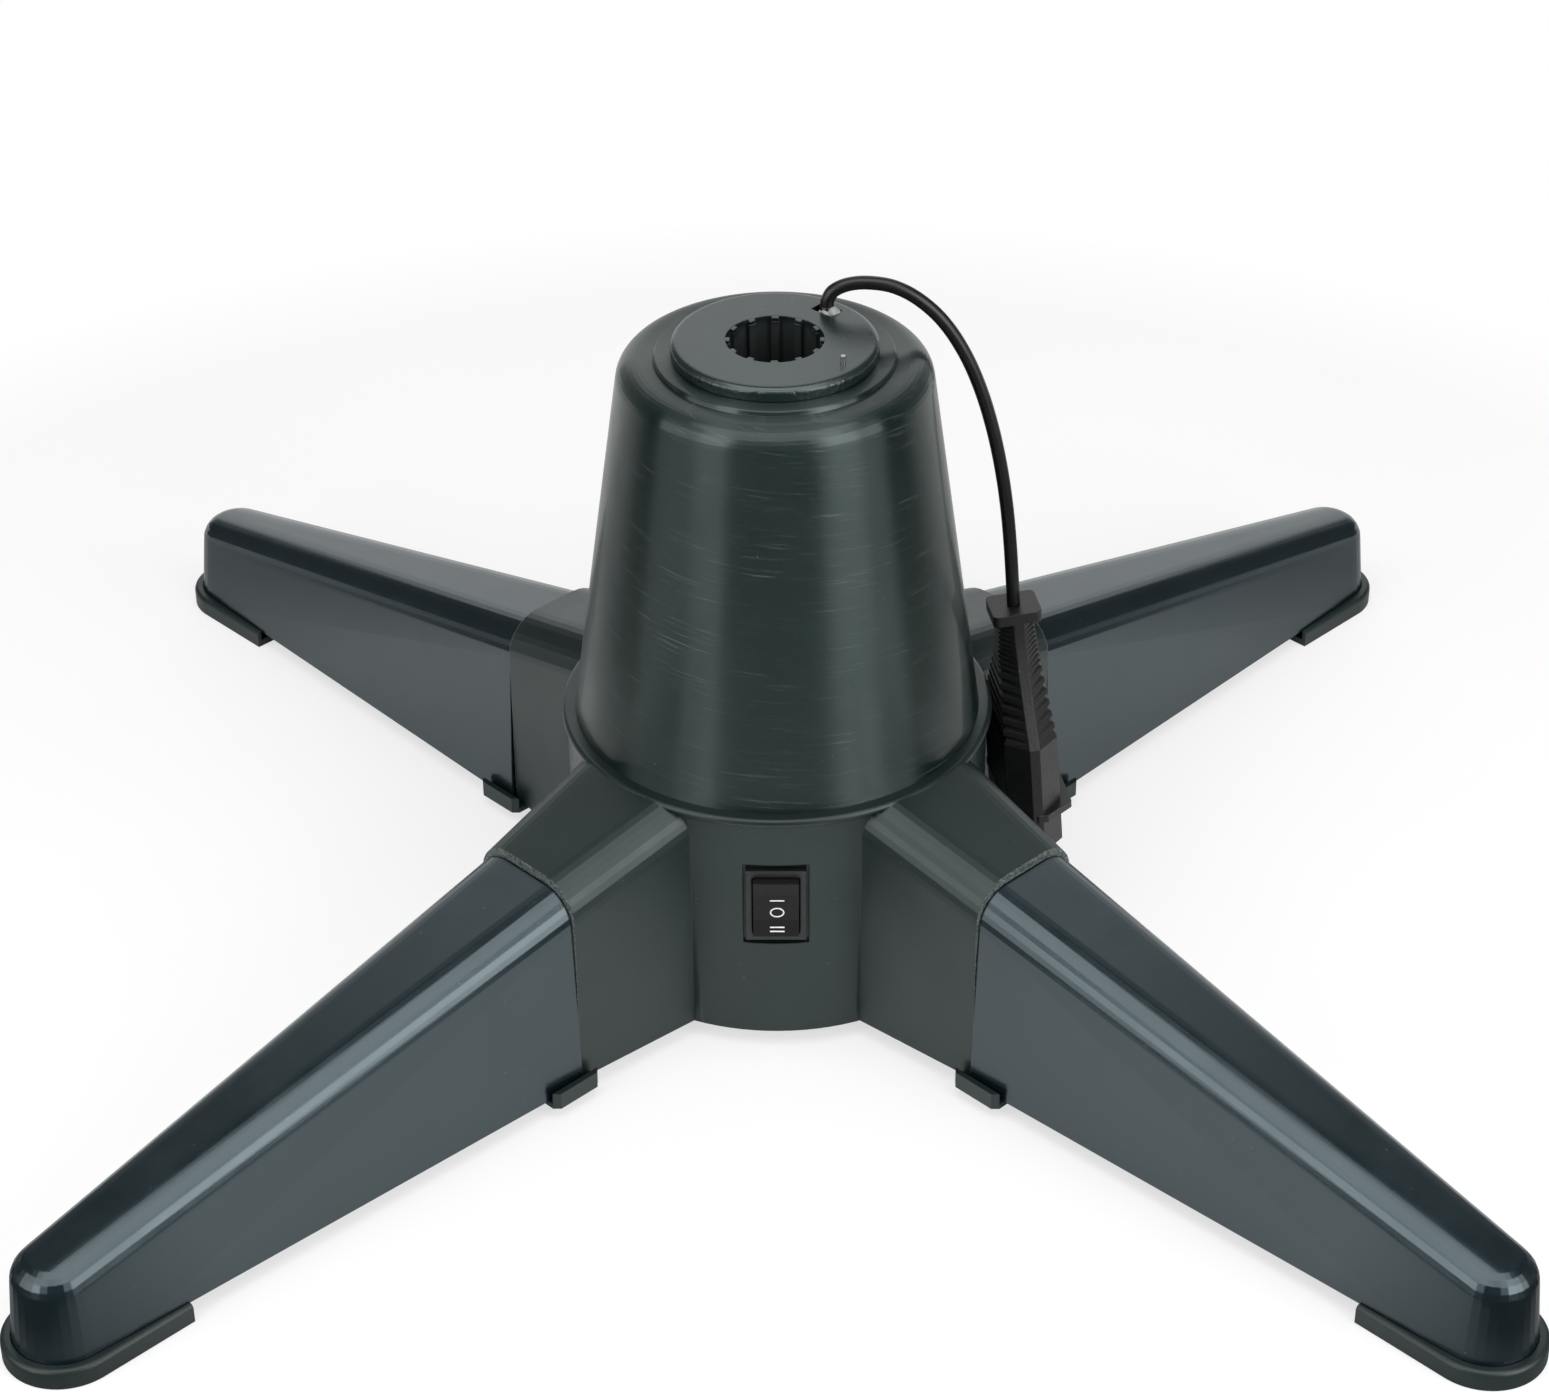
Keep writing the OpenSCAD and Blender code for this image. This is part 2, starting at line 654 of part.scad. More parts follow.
// Screw whose head lies inside a counterbore no deeper than half the plate
module screw_flat(length) {
    difference() {
        cylinder(r = screw_head_r, h = plate_t / 2);
        for (a = [0, 90]) rotate([0, 0, a])
            translate([-screw_head_r * 0.6, -0.35, plate_t / 2 - 0.6]) cube([screw_head_r * 1.2, 0.7, 2]);
    }
    translate([0, 0, -length]) cylinder(r = screw_r, h = length + e);
}

module deck_screws() color(zinc) translate([0, 0, deck_top]) around(leg_at, post_at) screw(screw_len);

module gear_deck() color(nylon) difference() {
    union() {
        translate([0, 0, deck_under]) cylinder(r = deck_r, h = deck_t);
        translate([0, 0, deck_top - e]) {
            cylinder(r = pivot_r * 2, h = pivot_boss_h + e);
            for (a = [0, 180, 225, 270, 315]) rotate([0, 0, a])
                translate([0, -deck_t / 3, 0]) cube([post_at - post_r - 3, deck_t * 2 / 3, pivot_boss_h / 2]);
        }
    }
    translate([0, 0, deck_under - cut]) {
        cylinder(r = pivot_r, h = hub_top);
        around(leg_at, post_at) cylinder(r = pilot(screw_r), h = hub_top);
        around(boss_dirs, boss_at) cylinder(r = pilot(screw_r), h = hub_top);
        at_ears() cylinder(r = pilot(screw_r), h = hub_top);
        at_drive() cylinder(r = collar_r + 0.3, h = hub_top);
        // passage for the wires to the brushes
        around([wire_dir], boss_at) cylinder(r = 2.5, h = hub_top);
    }
}

module pivot_pin() color(steel) translate([0, 0, deck_under])
    cylinder(r = pivot_r, h = tube_under + pivot_len - 1 - deck_under);

module thrust_washer() color(brass) translate([0, 0, washer_z])
    ring(pivot_r + run_gap, pivot_r * 2, washer_t);

// Places of the pinion and of the motor's two ears
module at_drive() rotate([0, 0, drive_dir]) translate([gear_centres, 0, 0]) rotate([0, 0, 180]) children();
module at_can() rotate([0, 0, drive_dir]) translate([gear_centres - shaft_offset, 0, 0]) children();
module at_ears() at_can() for (m = [-1, 1]) translate([0, m * ear_at, 0]) children();

module motor() color(zinc) difference() {
    union() {
        at_can() translate([0, 0, deck_under - motor_h]) cylinder(r = motor_r, h = motor_h);
        at_ears() translate([0, 0, deck_under - ear_t]) cylinder(r = ear_r, h = ear_t);
        at_can() translate([-ear_r, -ear_at, deck_under - ear_t]) cube([ear_r * 2, ear_at * 2, ear_t]);
        at_drive() translate([0, 0, deck_under - e]) cylinder(r = collar_r, h = deck_t + 1);
    }
    at_ears() translate([0, 0, deck_under - ear_t - cut]) cylinder(r = screw_r, h = ear_t + 2 * cut);
    at_drive() translate([0, 0, deck_under - shaft_in]) cylinder(r = shaft_r + run_gap, h = hub_top);
}

module motor_screws() color(zinc) at_ears() translate([0, 0, deck_top]) screw(deck_t + ear_t + 1.5);

// Flat that the pinion's bore and the shaft's end share
module shaft_flat() translate([shaft_r - 0.6, -shaft_r, gear_z - pinion_collar])
    cube([shaft_r, shaft_r * 2, hub_top]);

module motor_shaft() color(steel) at_drive() difference() {
    translate([0, 0, deck_under - shaft_in + 1])
        cylinder(r = shaft_r, h = flange_z + 1.5 - deck_under + shaft_in);
    shaft_flat();
}

module drive_gear() color(nylon) at_drive() difference() {
    translate([0, 0, gear_z]) union() {
        gear(drive_teeth);
        translate([0, 0, -pinion_collar]) cylinder(r = drive_pitch_r - gear_m * 1.6, h = pinion_collar + e);
    }
    difference() {
        translate([0, 0, gear_z - pinion_collar - cut])
            cylinder(r = shaft_r, h = gear_w + pinion_collar + 2 * cut);
        shaft_flat();
    }
}

module turntable() color(green) difference() {
    union() {
        // disc with its rounded edge, journal drum and pole tube, turned in one piece
        rotate_extrude() polygon(concat(
            [[tube_r - 1, disc_under], [tube_r - 1, disc_top]],
            [for (a = [90:-15:0])
                [disc_r + disc_edge_r * (cos(a) - 1), disc_top + disc_edge_r * (sin(a) - 1)]],
            [[disc_r, disc_under]]
        ));
        translate([0, 0, journal_low])
            ring(journal_r - journal_wall, journal_r, disc_under - journal_low + e);
        translate([0, 0, tube_under]) cylinder(r = tube_r, h = disc_top - tube_under);
        translate([0, 0, flange_z]) cylinder(r = flange_r, h = flange_t);
        // webs between the tube and the journal drum
        for (a = [20:60:320]) rotate([0, 0, a]) translate([tube_r - 1, -0.8, journal_low + 2])
            cube([journal_r - tube_r, 1.6, disc_under - journal_low - 2 + e]);
    }
    // fluted socket: ribs of an inner ring stay between the flutes
    difference() {
        translate([0, 0, pole_floor]) cylinder(r = socket_r, h = disc_top - pole_floor + cut);
        intersection() {
            translate([0, 0, pole_floor - cut])
                ring(socket_r - rib_h, socket_r + rib_h, disc_top - 0.6 - pole_floor + cut);
            for (a = [0:360 / rib_n:359]) rotate([0, 0, a])
                translate([0, -rib_w / 2, pole_floor - cut])
                cube([socket_r + 1, rib_w, disc_top - pole_floor]);
        }
    }
    translate([0, 0, tube_under - cut]) cylinder(r = pivot_r + run_gap, h = pivot_len + cut);
    translate([0, 0, flange_z - cut]) around(gear_screw_dirs, gear_screw_at)
        cylinder(r = screw_r, h = flange_t + 2 * cut);
    // groove of the retaining ring
    translate([0, 0, ring_z]) ring(journal_r - ring_groove, journal_r + cut, ring_t);
    at_slot() translate([-slot_d / 2, -slot_w / 2, disc_under - cut])
        cube([slot_d, slot_w, disc_h + 2 * cut]);
    at_marker() translate([0, 0, disc_top - 1.5]) cylinder(r = pin_r, h = disc_h);
}

module at_slot() rotate([0, 0, slot_angle]) translate([slot_at, 0, 0]) children();
module at_marker() rotate([0, 0, pin_angle]) translate([pin_at, 0, 0]) children();

// A gap between two teeth faces the pinion
module ring_gear() color(nylon) difference() {
    translate([0, 0, gear_z]) rotate([0, 0, drive_dir + 180 / ring_teeth]) gear(ring_teeth);
    translate([0, 0, gear_z - cut]) cylinder(r = tube_r, h = gear_w + 2 * cut);
    around(gear_screw_dirs, gear_screw_at) translate([0, 0, gear_z - cut])
        cylinder(r = screw_r, h = gear_w + 2 * cut);
}

module gear_screws() color(zinc) translate([0, 0, flange_z + flange_t])
    around(gear_screw_dirs, gear_screw_at) screw(flange_t + gear_w - 1, gear_head_r);

module retaining_ring() color(steel) translate([0, 0, ring_z]) difference() {
    ring(journal_r - ring_groove + run_gap, neck_r - 0.4, ring_t);
    translate([0, -2.5, -cut]) cube([neck_r, 5, ring_t + 2 * cut]);
}

module marker_pin() color(steel) at_marker() translate([0, 0, disc_top - 1.5])
    cylinder(r = pin_r, h = pin_h + 1.5);

module slip_ring_sleeve() color(nylon) translate([0, 0, sleeve_z]) {
    ring(tube_r, sleeve_r, sleeve_len);
    for (z = [0, sleeve_len / 2 - 0.5, sleeve_len - 1]) translate([0, 0, z])
        ring(sleeve_r - e, sleeve_r + 1.4, 1);
}

module slip_rings() color(copper) for (z = band_z) translate([0, 0, z]) ring(sleeve_r, band_r, band_h);

module brush_holder() color(cardboard) rotate([0, 0, brush_dir]) difference() {
    union() {
        translate([pad_at - holder_t, -holder_w / 2, sleeve_z - 2])
            cube([holder_t, holder_w, sleeve_len + 4]);
        for (z = band_z) translate([band_r + 4, -brush_w / 2 - 1.4, z + band_h / 2 - brush_w / 2 - 1.4])
            cube([pad_at - holder_t - band_r - 4 + e, brush_w + 2.8, brush_w + 2.8]);
    }
    for (z = band_z) translate([band_r, -brush_w / 2, z + band_h / 2 - brush_w / 2])
        cube([pad_at - holder_t - band_r, brush_w, brush_w]);
    at_pegs() cylinder(r = 1.6, h = holder_t * 2);
}

module at_pegs() for (m = [-1, 1])
    translate([pad_at - holder_t - cut, m * holder_w * 0.32, sleeve_z + sleeve_len / 2])
    rotate([0, 90, 0]) children();

module brushes() color(black) rotate([0, 0, brush_dir]) difference() {
    for (z = band_z) translate([band_r - 1, -brush_w / 2, z + band_h / 2 - brush_w / 2])
        cube([pad_at - holder_t - band_r - 1, brush_w, brush_w]);
    translate([0, 0, sleeve_z]) cylinder(r = band_r + brush_gap, h = sleeve_len);
}

module cover() color(green) difference() {
    union() {
        rotate_extrude() polygon(concat(
            [[cover_base_r, hub_top]], cone_arc(0),
            [[plateau_r + 0.6, shoulder_z], [plateau_r + 0.3, plateau_z - 0.3], [plateau_r, plateau_z],
             [bush_r, plateau_z], [bush_r, plateau_z - neck_h + neck_ledge_h],
             [journal_r + 0.4, plateau_z - neck_h + neck_ledge_h], [journal_r + 0.4, plateau_z - neck_h],
             [neck_r, plateau_z - neck_h], [neck_r, shoulder_z - cover_wall]],
            reversed(cone_arc(cover_wall)),
            [[cover_base_r - cover_wall / cos(cone_lean), hub_top]]
        ));
        around(boss_dirs, boss_at) translate([0, 0, deck_top]) cylinder(r = boss_r, h = boss_len);
        intersection() {
            translate([0, 0, hub_top]) cylinder(r1 = cover_base_r - 0.8, r2 = cover_top_r - 0.8, h = cover_h);
            union() {
                around(boss_dirs, boss_at) translate([0, -cover_wall / 2, 0])
                    cube([boss_r * 2, cover_wall, deck_top + boss_len - 1]);
                rotate([0, 0, brush_dir]) {
                    translate([pad_at, -holder_w / 2, sleeve_z - 2])
                        cube([boss_r * 3, holder_w, sleeve_len + 4]);
                    at_pegs() translate([0, 0, cut + 0.2]) cylinder(r = 1.5, h = holder_t * 2);
                }
            }
        }
    }
    around(boss_dirs, boss_at) cylinder(r = screw_r, h = deck_top + boss_len - 3);
}

module cover_screws() color(zinc) around(boss_dirs, boss_at)
    translate([0, 0, deck_under]) rotate([180, 0, 0]) screw(boss_len - 4);

module upper_bush() color(nylon) translate([0, 0, plateau_z - neck_h + neck_ledge_h])
    ring(bush_in_r, bush_r, neck_h - neck_ledge_h);

module switch_housing() color(black) translate([0, bezel_face, switch_z]) difference() {
    union() {
        translate([-bezel_w / 2, 0, -bezel_h / 2]) cube([bezel_w, bezel_t, bezel_h]);
        translate([-switch_w / 2, bezel_t - e, -switch_h / 2]) cube([switch_w, switch_depth, switch_h]);
    }
    translate([-rocker_w / 2 - rocker_gap, -cut, -rocker_len / 2 - rocker_gap])
        cube([rocker_w + 2 * rocker_gap, switch_depth / 2 + cut, rocker_len + 2 * rocker_gap]);
    translate([-rocker_w / 2 - 1.3, rocker_depth, 0]) rotate([0, 90, 0])
        cylinder(r = rocker_pin_r + run_gap, h = rocker_w + 2.6);
}

// Paddle with a hollow face, on two stub pins
module switch_rocker() color(black) translate([0, rocker_axis_y, switch_z]) {
    half = rocker_len / 2;
    out = rocker_depth + 2;
    translate([rocker_w / 2, 0, 0]) rotate([0, -90, 0]) linear_extrude(rocker_w) polygon(concat(
        [[-half + 0.2, -out], [-half * 0.45, -out + 1.1], [half * 0.45, -out + 1.1], [half - 0.2, -out]],
        [for (a = [90:-10:50]) half * [sin(a), cos(a)]],
        [for (a = [50:10:90]) half * [-sin(a), cos(a)]]
    ));
    translate([-rocker_w / 2 - 1, 0, 0]) rotate([0, 90, 0]) cylinder(r = rocker_pin_r, h = rocker_w + 2);
}

module switch_terminals() color(brass) for (z = [-6, 0, 6])
    translate([-2.4, bezel_face + bezel_t + switch_depth, switch_z + z - 0.4]) cube([4.8, 8, 0.8]);

// Outer or inner form of a leg's shell; inset makes it smaller all round
module leg_form(inset, x, z_low) hull() {
    along_x(x, e) arch(leg_root_w - 2 * inset, leg_root_top_w - 2 * inset,
        z_low, leg_root_h - inset, leg_edge_r - inset);
    translate([tip_x, 0, z_low]) cylinder(r = leg_tip_r - inset, h = e, $fn = hull_fn);
    translate([tip_x, 0, leg_tip_h - leg_tip_edge_r]) rotate_extrude($fn = hull_fn) polygon(concat(
        [[0, 0]],
        [for (a = [0:15:90])
            [leg_tip_top_r - leg_tip_edge_r, 0] + (leg_tip_edge_r - inset) * [cos(a), sin(a)]],
        [[0, leg_tip_edge_r - inset]]
    ));
}

module leg() color(gloss_green) difference() {
    union() {
        leg_form(0, leg_start, foot_floor);
        channel(leg_start - tongue_len, leg_start + leg_wall, -tongue_gap);
    }
    leg_form(leg_wall, leg_start + leg_wall, -cut);
    channel(leg_start - tongue_len - cut, leg_start + leg_wall + e, -tongue_gap - leg_wall);
    // the lower edge is raised up to the shoe
    translate([0, -hub_r, -cut]) cube([foot_from + foot_lap, hub_r * 2, ground_gap + cut]);
}

module foot() color(black) difference() {
    union() {
        along_x(foot_from, tip_x - foot_from) arch(foot_r * 2, foot_r * 2, 0, foot_h, foot_edge_r);
        translate([tip_x, 0, 0]) rotate_extrude() polygon(concat(
            [[0, 0], [foot_r, 0]],
            [for (a = [0:10:90]) [foot_r + foot_edge_r * (cos(a) - 1), foot_h + foot_edge_r * (sin(a) - 1)]],
            [[0, foot_h]]
        ));
    }
    leg_form(-foot_gap, leg_start, foot_floor);
}

module leg_front_left() rotate([0, 0, leg_at[0]]) leg();
module leg_front_right() rotate([0, 0, leg_at[1]]) leg();
module leg_back_right() rotate([0, 0, leg_at[2]]) leg();
module leg_back_left() rotate([0, 0, leg_at[3]]) leg();
module foot_front_left() rotate([0, 0, leg_at[0]]) foot();
module foot_front_right() rotate([0, 0, leg_at[1]]) foot();
module foot_back_right() rotate([0, 0, leg_at[2]]) foot();
module foot_back_left() rotate([0, 0, leg_at[3]]) foot();

module light_lead() color(black) tube(lead_route, lead_d, 8, [0, 1, 0]);

// Glue that holds the lead in its slot and domes over it
module lead_anchor() color(zinc) at_slot() {
    translate([-slot_d / 2, -slot_w / 2, disc_under]) cube([slot_d, slot_w, disc_h]);
    translate([0, 0, disc_top - e])
        cylinder(r1 = slot_d / 2 + 0.6, r2 = lead_d / 2 + 0.2, h = anchor_top - disc_top + e);
}

// Outline of a flat moulded body: wide faces along y, and narrow ends that come to a blunt edge
function boat(w, t) = let(y = w / 2 - min(boat_bevel, w / 2 - boat_edge)) [
    [t / 2, y], [boat_edge / 2, w / 2], [-boat_edge / 2, w / 2], [-t / 2, y],
    [-t / 2, -y], [-boat_edge / 2, -w / 2], [boat_edge / 2, -w / 2], [t / 2, -y]
];

// Stations [z, width, thickness] of a waist that widens from z_0 to z_1, with fine and then
// coarse grip ribs across its wide faces, flush with the block that follows; each rib takes
// its pitch, and a coarse one two
function waist(z_0, z_1, from, to, fine, coarse) = let(
    pitch = (z_1 - z_0) / (fine + 2 * coarse + 2),
    ribs = [for (i = [0:fine + coarse - 1]) let(n = i < fine ? 1 : 2)
        [z_0 + pitch * (1 + i * n - (n - 1) * fine), n * pitch]],
    stops = concat([[z_0, 0]], [for (r = ribs, c = grip_form) [r[0] + r[1] * c[0],
        min(grip_depth, r[1] * 0.4) * (c[1] - 1)]], [[z_1, 0]])
) [for (s = stops) let(f = (s[0] - z_0) / (z_1 - z_0))
    [s[0], from[0] + (to[0] - from[0]) * pow(f, waist_curve), from[1] + (to[1] - from[1]) * f + 2 * s[1]]];

// Solid through such stations
module loft(stations) {
    n = 8;
    m = len(stations);
    points = [for (s = stations, p = boat(s[1], s[2])) [p[0], p[1], s[0]]];
    sides = [for (i = [0:m - 2], k = [0:n - 1]) let(a = i * n + k, b = i * n + (k + 1) % n)
        each [[a, b + n, b], [a, a + n, b + n]]];
    caps = [for (k = [1:n - 2]) each [[0, k, k + 1], [(m - 1) * n, (m - 1) * n + k + 1, (m - 1) * n + k]]];
    polyhedron(points = points, faces = concat(sides, caps), convexity = 10);
}

// Rectangle with round corners
module rounded(w, t, r) {
    square([w - 2 * r, t], center = true);
    square([w, t - 2 * r], center = true);
    for (x = [-1, 1], y = [-1, 1]) translate([x * (w / 2 - r), y * (t / 2 - r)]) circle(r = r, $fn = hull_fn);
}

module at_light() translate(light_top)
    rotate([0, -light_lean, 0]) rotate([0, 0, light_turn]) rotate([180, 0, 0]) children();
module light_bores(r, h) for (m = [-1, 1]) translate([0, m * prong_pitch / 2, light_len - h])
    cylinder(r = r, h = h + cut);

// Drawn with its length along +Z from the collar, wide along y
module light_socket() color(black) at_light() difference() {
    union() {
        linear_extrude(light_collar_h) rounded(light_collar_w, light_collar_t, light_collar_h / 2);
        loft(concat(
            waist(light_collar_h - e, light_taper, [light_neck_w, light_neck_t], [light_w, light_t],
                light_fine, light_coarse),
            [[light_len, light_w, light_t]]
        ));
        translate([light_collar_h / 2 - cut / 5, 0, light_len - light_mouth - light_flange])
            linear_extrude(light_flange) polygon(boat(light_w + 0.6, light_t + light_collar_h));
    }
    translate([0, 0, light_len - light_recess]) linear_extrude(light_recess + cut)
        polygon(boat(light_w - 2 * light_wall, light_t - 2 * light_wall));
    light_bores(contact_r, light_recess + contact_len);
}

module socket_contacts() color(brass) at_light() difference() {
    light_contacts(contact_r, 0);
    light_contacts(prong_r + 0.05, cut);
}
module light_contacts(r, past) for (m = [-1, 1])
    translate([0, m * prong_pitch / 2, light_len - light_recess - contact_len + past])
        cylinder(r = r, h = contact_len);

module terminal_block() color(white) translate([block_at[0], block_at[1], plate_top]) difference() {
    union() {
        translate([-block_l / 2, -block_w / 2, 0]) cube([block_l, block_w, 7]);
        for (m = [-1, 0, 1]) translate([m * block_l / 3, 0, 0]) {
            translate([-4, -block_w / 2, 0]) cube([8, block_w, 10]);
            for (s = [-1, 1]) translate([0, s * block_w / 4, 10 - e]) ring(1.8, 3, 3);
        }
    }
    for (m = [-1, 0, 1]) translate([m * block_l / 3, -block_w, 5]) rotate([-90, 0, 0])
        cylinder(r = 1.9, h = block_w * 2);
}

// Boot with ring grooves, held in the wall's hole by its neck; its flange has a flat over the bottom plate
module mains_relief() color(black) difference() {
    translate([mains_x, 0, mains_z]) rotate([-90, 0, 0]) rotate_extrude() polygon(concat(
        [[0, exit_y - 10], [relief_neck_r + 1.8, exit_y - 10], [relief_neck_r + 1.8, exit_y - 8],
         [relief_neck_r, exit_y - 8], [relief_neck_r, exit_y + 2]],
        [for (i = [0:relief_grooves - 1], c = [0:3]) let(
            y = exit_y + 4 + (i + [0, 0, 0.45, 0.45][c]) * (relief_len - 6) / relief_grooves,
            r = relief_neck_r - (relief_neck_r - relief_tip_r) * (y - exit_y) / relief_len
        ) [r - (c % 3 == 0 ? 0 : 0.7), y]],
        [[relief_tip_r, relief_end], [0, relief_end]]
    ));
    translate([mains_x - hub_r / 2, 0, 0]) cube([hub_r, exit_y - 7, plate_top + 0.1]);
}

module mains_lead() color(black) tube(mains_route, mains_d, 8, [1, 0, 0]);
module mains_coil() color(black) tube(coil_route, mains_d, 6, [0, 0, 1]);
module mains_tail() color(black) tube(mains_tail_route, mains_d, 8, [0, 0, 1]);

// Plug drawn along +X from the lead's end, wide along y
module at_plug() translate(plug_at) rotate([0, 0, -90]) children();
module at_pins() for (m = [-1, 1]) translate([plug_len, m * prong_pitch / 2, 0])
    rotate([0, 0, -m * prong_lean]) rotate([0, 90, 0]) children();
module at_prongs() at_plug() at_pins() children();

module mains_plug() color(black) at_plug() difference() {
    union() {
        rotate([0, 90, 0]) cylinder(r1 = plug_tip_r, r2 = plug_neck_w / 2, h = plug_relief + e);
        rotate([0, 90, 0]) loft(concat(
            waist(plug_relief, plug_relief + plug_taper, [plug_neck_w, plug_neck_w - 1], [plug_w, plug_t],
                plug_fine, plug_coarse),
            [[plug_len, plug_w, plug_t]]
        ));
    }
    // slots of the strain relief
    for (i = [0:3], s = [0, 1]) translate([3 + i * 4 + s * 2, 0, 0]) rotate([90 * s, 0, 0])
        for (m = [-1, 1]) translate([0, m * (plug_tip_r + 1), 0])
            cube([1, 3, plug_neck_w * 2], center = true);
    at_pins() translate([0, 0, -prong_root]) cylinder(r = prong_core_r, h = prong_root + cut);
}

module plug_sleeves() color(white) at_prongs() translate([0, 0, prong_shoulder]) {
    ring(prong_core_r, prong_r + 0.7, 3.2);
    ring(prong_core_r, prong_r - prong_step, sleeve_on_pin - prong_shoulder);
}

module plug_prongs() color(steel) at_prongs() {
    translate([0, 0, -prong_root]) cylinder(r = prong_core_r, h = prong_root + sleeve_on_pin + e);
    translate([0, 0, sleeve_on_pin]) cylinder(r = prong_r, h = prong_len - sleeve_on_pin - 1);
    translate([0, 0, prong_len - 1 - e]) cylinder(r1 = prong_r, r2 = prong_r - 0.7, h = 1 + e);
}

hub_body();
bottom_plate();
bottom_screws();
gear_deck();
deck_screws();
pivot_pin();
thrust_washer();
motor();
motor_screws();
motor_shaft();
drive_gear();
turntable();
ring_gear();
gear_screws();
retaining_ring();
marker_pin();
slip_ring_sleeve();
slip_rings();
brush_holder();
brushes();
cover();
cover_screws();
upper_bush();
switch_housing();
switch_rocker();
switch_terminals();
leg_front_left();
leg_front_right();
leg_back_right();
leg_back_left();
foot_front_left();
foot_front_right();
foot_back_right();
foot_back_left();
light_lead();
lead_anchor();
light_socket();
socket_contacts();
terminal_block();
mains_relief();
mains_lead();
mains_coil();
mains_tail();
mains_plug();
plug_sleeves();
plug_prongs();
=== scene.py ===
# Rotating tree stand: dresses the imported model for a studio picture.
# The scene is in metres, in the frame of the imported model: the origin is on the floor
# under the drum. Routes and small pieces are written in millimetres and multiplied by MM.
import math

import bmesh
import bpy
from mathutils import Matrix, Vector


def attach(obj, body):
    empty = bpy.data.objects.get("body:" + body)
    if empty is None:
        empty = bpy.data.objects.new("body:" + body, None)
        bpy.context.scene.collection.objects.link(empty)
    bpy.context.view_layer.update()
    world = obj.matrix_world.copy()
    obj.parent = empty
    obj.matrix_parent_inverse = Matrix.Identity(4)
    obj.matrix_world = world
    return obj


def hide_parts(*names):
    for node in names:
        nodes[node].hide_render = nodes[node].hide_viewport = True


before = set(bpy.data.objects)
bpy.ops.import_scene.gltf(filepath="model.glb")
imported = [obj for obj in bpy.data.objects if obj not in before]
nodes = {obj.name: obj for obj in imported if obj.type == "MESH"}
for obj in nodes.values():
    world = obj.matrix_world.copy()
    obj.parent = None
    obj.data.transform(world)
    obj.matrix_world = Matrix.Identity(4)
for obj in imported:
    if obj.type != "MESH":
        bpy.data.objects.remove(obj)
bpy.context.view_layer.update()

MM = 0.001


# ---------------------------------------------------------------- helpers

def link(obj):
    bpy.context.scene.collection.objects.link(obj)
    return obj


def round_angles(count):
    """The angles of count points round a circle."""
    return [2 * math.pi * k / count for k in range(count)]


def skin(bm, rings, capped=True):
    """Quads from each closed ring of vertices to the next, and a face over both ends."""
    for low, high in zip(rings, rings[1:]):
        for k in range(len(low)):
            n = (k + 1) % len(low)
            bm.faces.new((low[k], low[n], high[n], high[k]))
    if capped:
        bm.faces.new(rings[0])
        bm.faces.new(rings[-1])


def swept(bm, line, radius, sides=16):
    """A closed round tube along a line of points."""
    last = len(line) - 1
    rings = []
    across = None
    for i, point in enumerate(line):
        along = (line[min(i + 1, last)] - line[max(i - 1, 0)]).normalized()
        if across is None:
            across = along.orthogonal().normalized()
        across = (across - along * across.dot(along)).normalized()
        upright = along.cross(across)
        rings.append([bm.verts.new(point + radius * (math.cos(a) * across + math.sin(a) * upright))
                      for a in round_angles(sides)])
    skin(bm, rings)


def made_object(name, build, smooth=True):
    """An object whose mesh build(bm) makes."""
    mesh = bpy.data.meshes.new(name)
    bm = bmesh.new()
    build(bm)
    bmesh.ops.recalc_face_normals(bm, faces=bm.faces)
    for face in bm.faces:
        face.smooth = smooth
    bm.to_mesh(mesh)
    bm.free()
    return link(bpy.data.objects.new(name, mesh))


def smooth_route(route, steps=6):
    """Points in metres along a smooth curve through a route given in millimetres."""
    places = [Vector(place) * MM for place in route]
    places = [places[0] * 2 - places[1]] + places + [places[-1] * 2 - places[-2]]
    line = []
    for before, start, end, after in zip(places, places[1:], places[2:], places[3:]):
        span = (end - start).length
        leave = (end - before).normalized() * span
        arrive = (after - start).normalized() * span
        for k in range(steps):
            t = k / steps
            line.append(start * (2 * t**3 - 3 * t**2 + 1) + leave * (t**3 - 2 * t**2 + t)
                        + end * (3 * t**2 - 2 * t**3) + arrive * (t**3 - t**2))
    return line + [places[-2]]


# ---------------------------------------------------------------- camera

CAM_AZIMUTH = 0.01        # radians, to the right of straight in front
CAM_DISTANCE = 0.78966    # along the floor from the drum's axis
CAM_HEIGHT = 0.59295
CAM_PITCH = 0.584         # radians, downwards
CAM_ROLL = -0.006
SENSOR_W = 36
PHOTO_W = 1549
FOCAL_PIXELS = 3705.6
CENTRE_X = 777
CLIP = (0.01, 50)


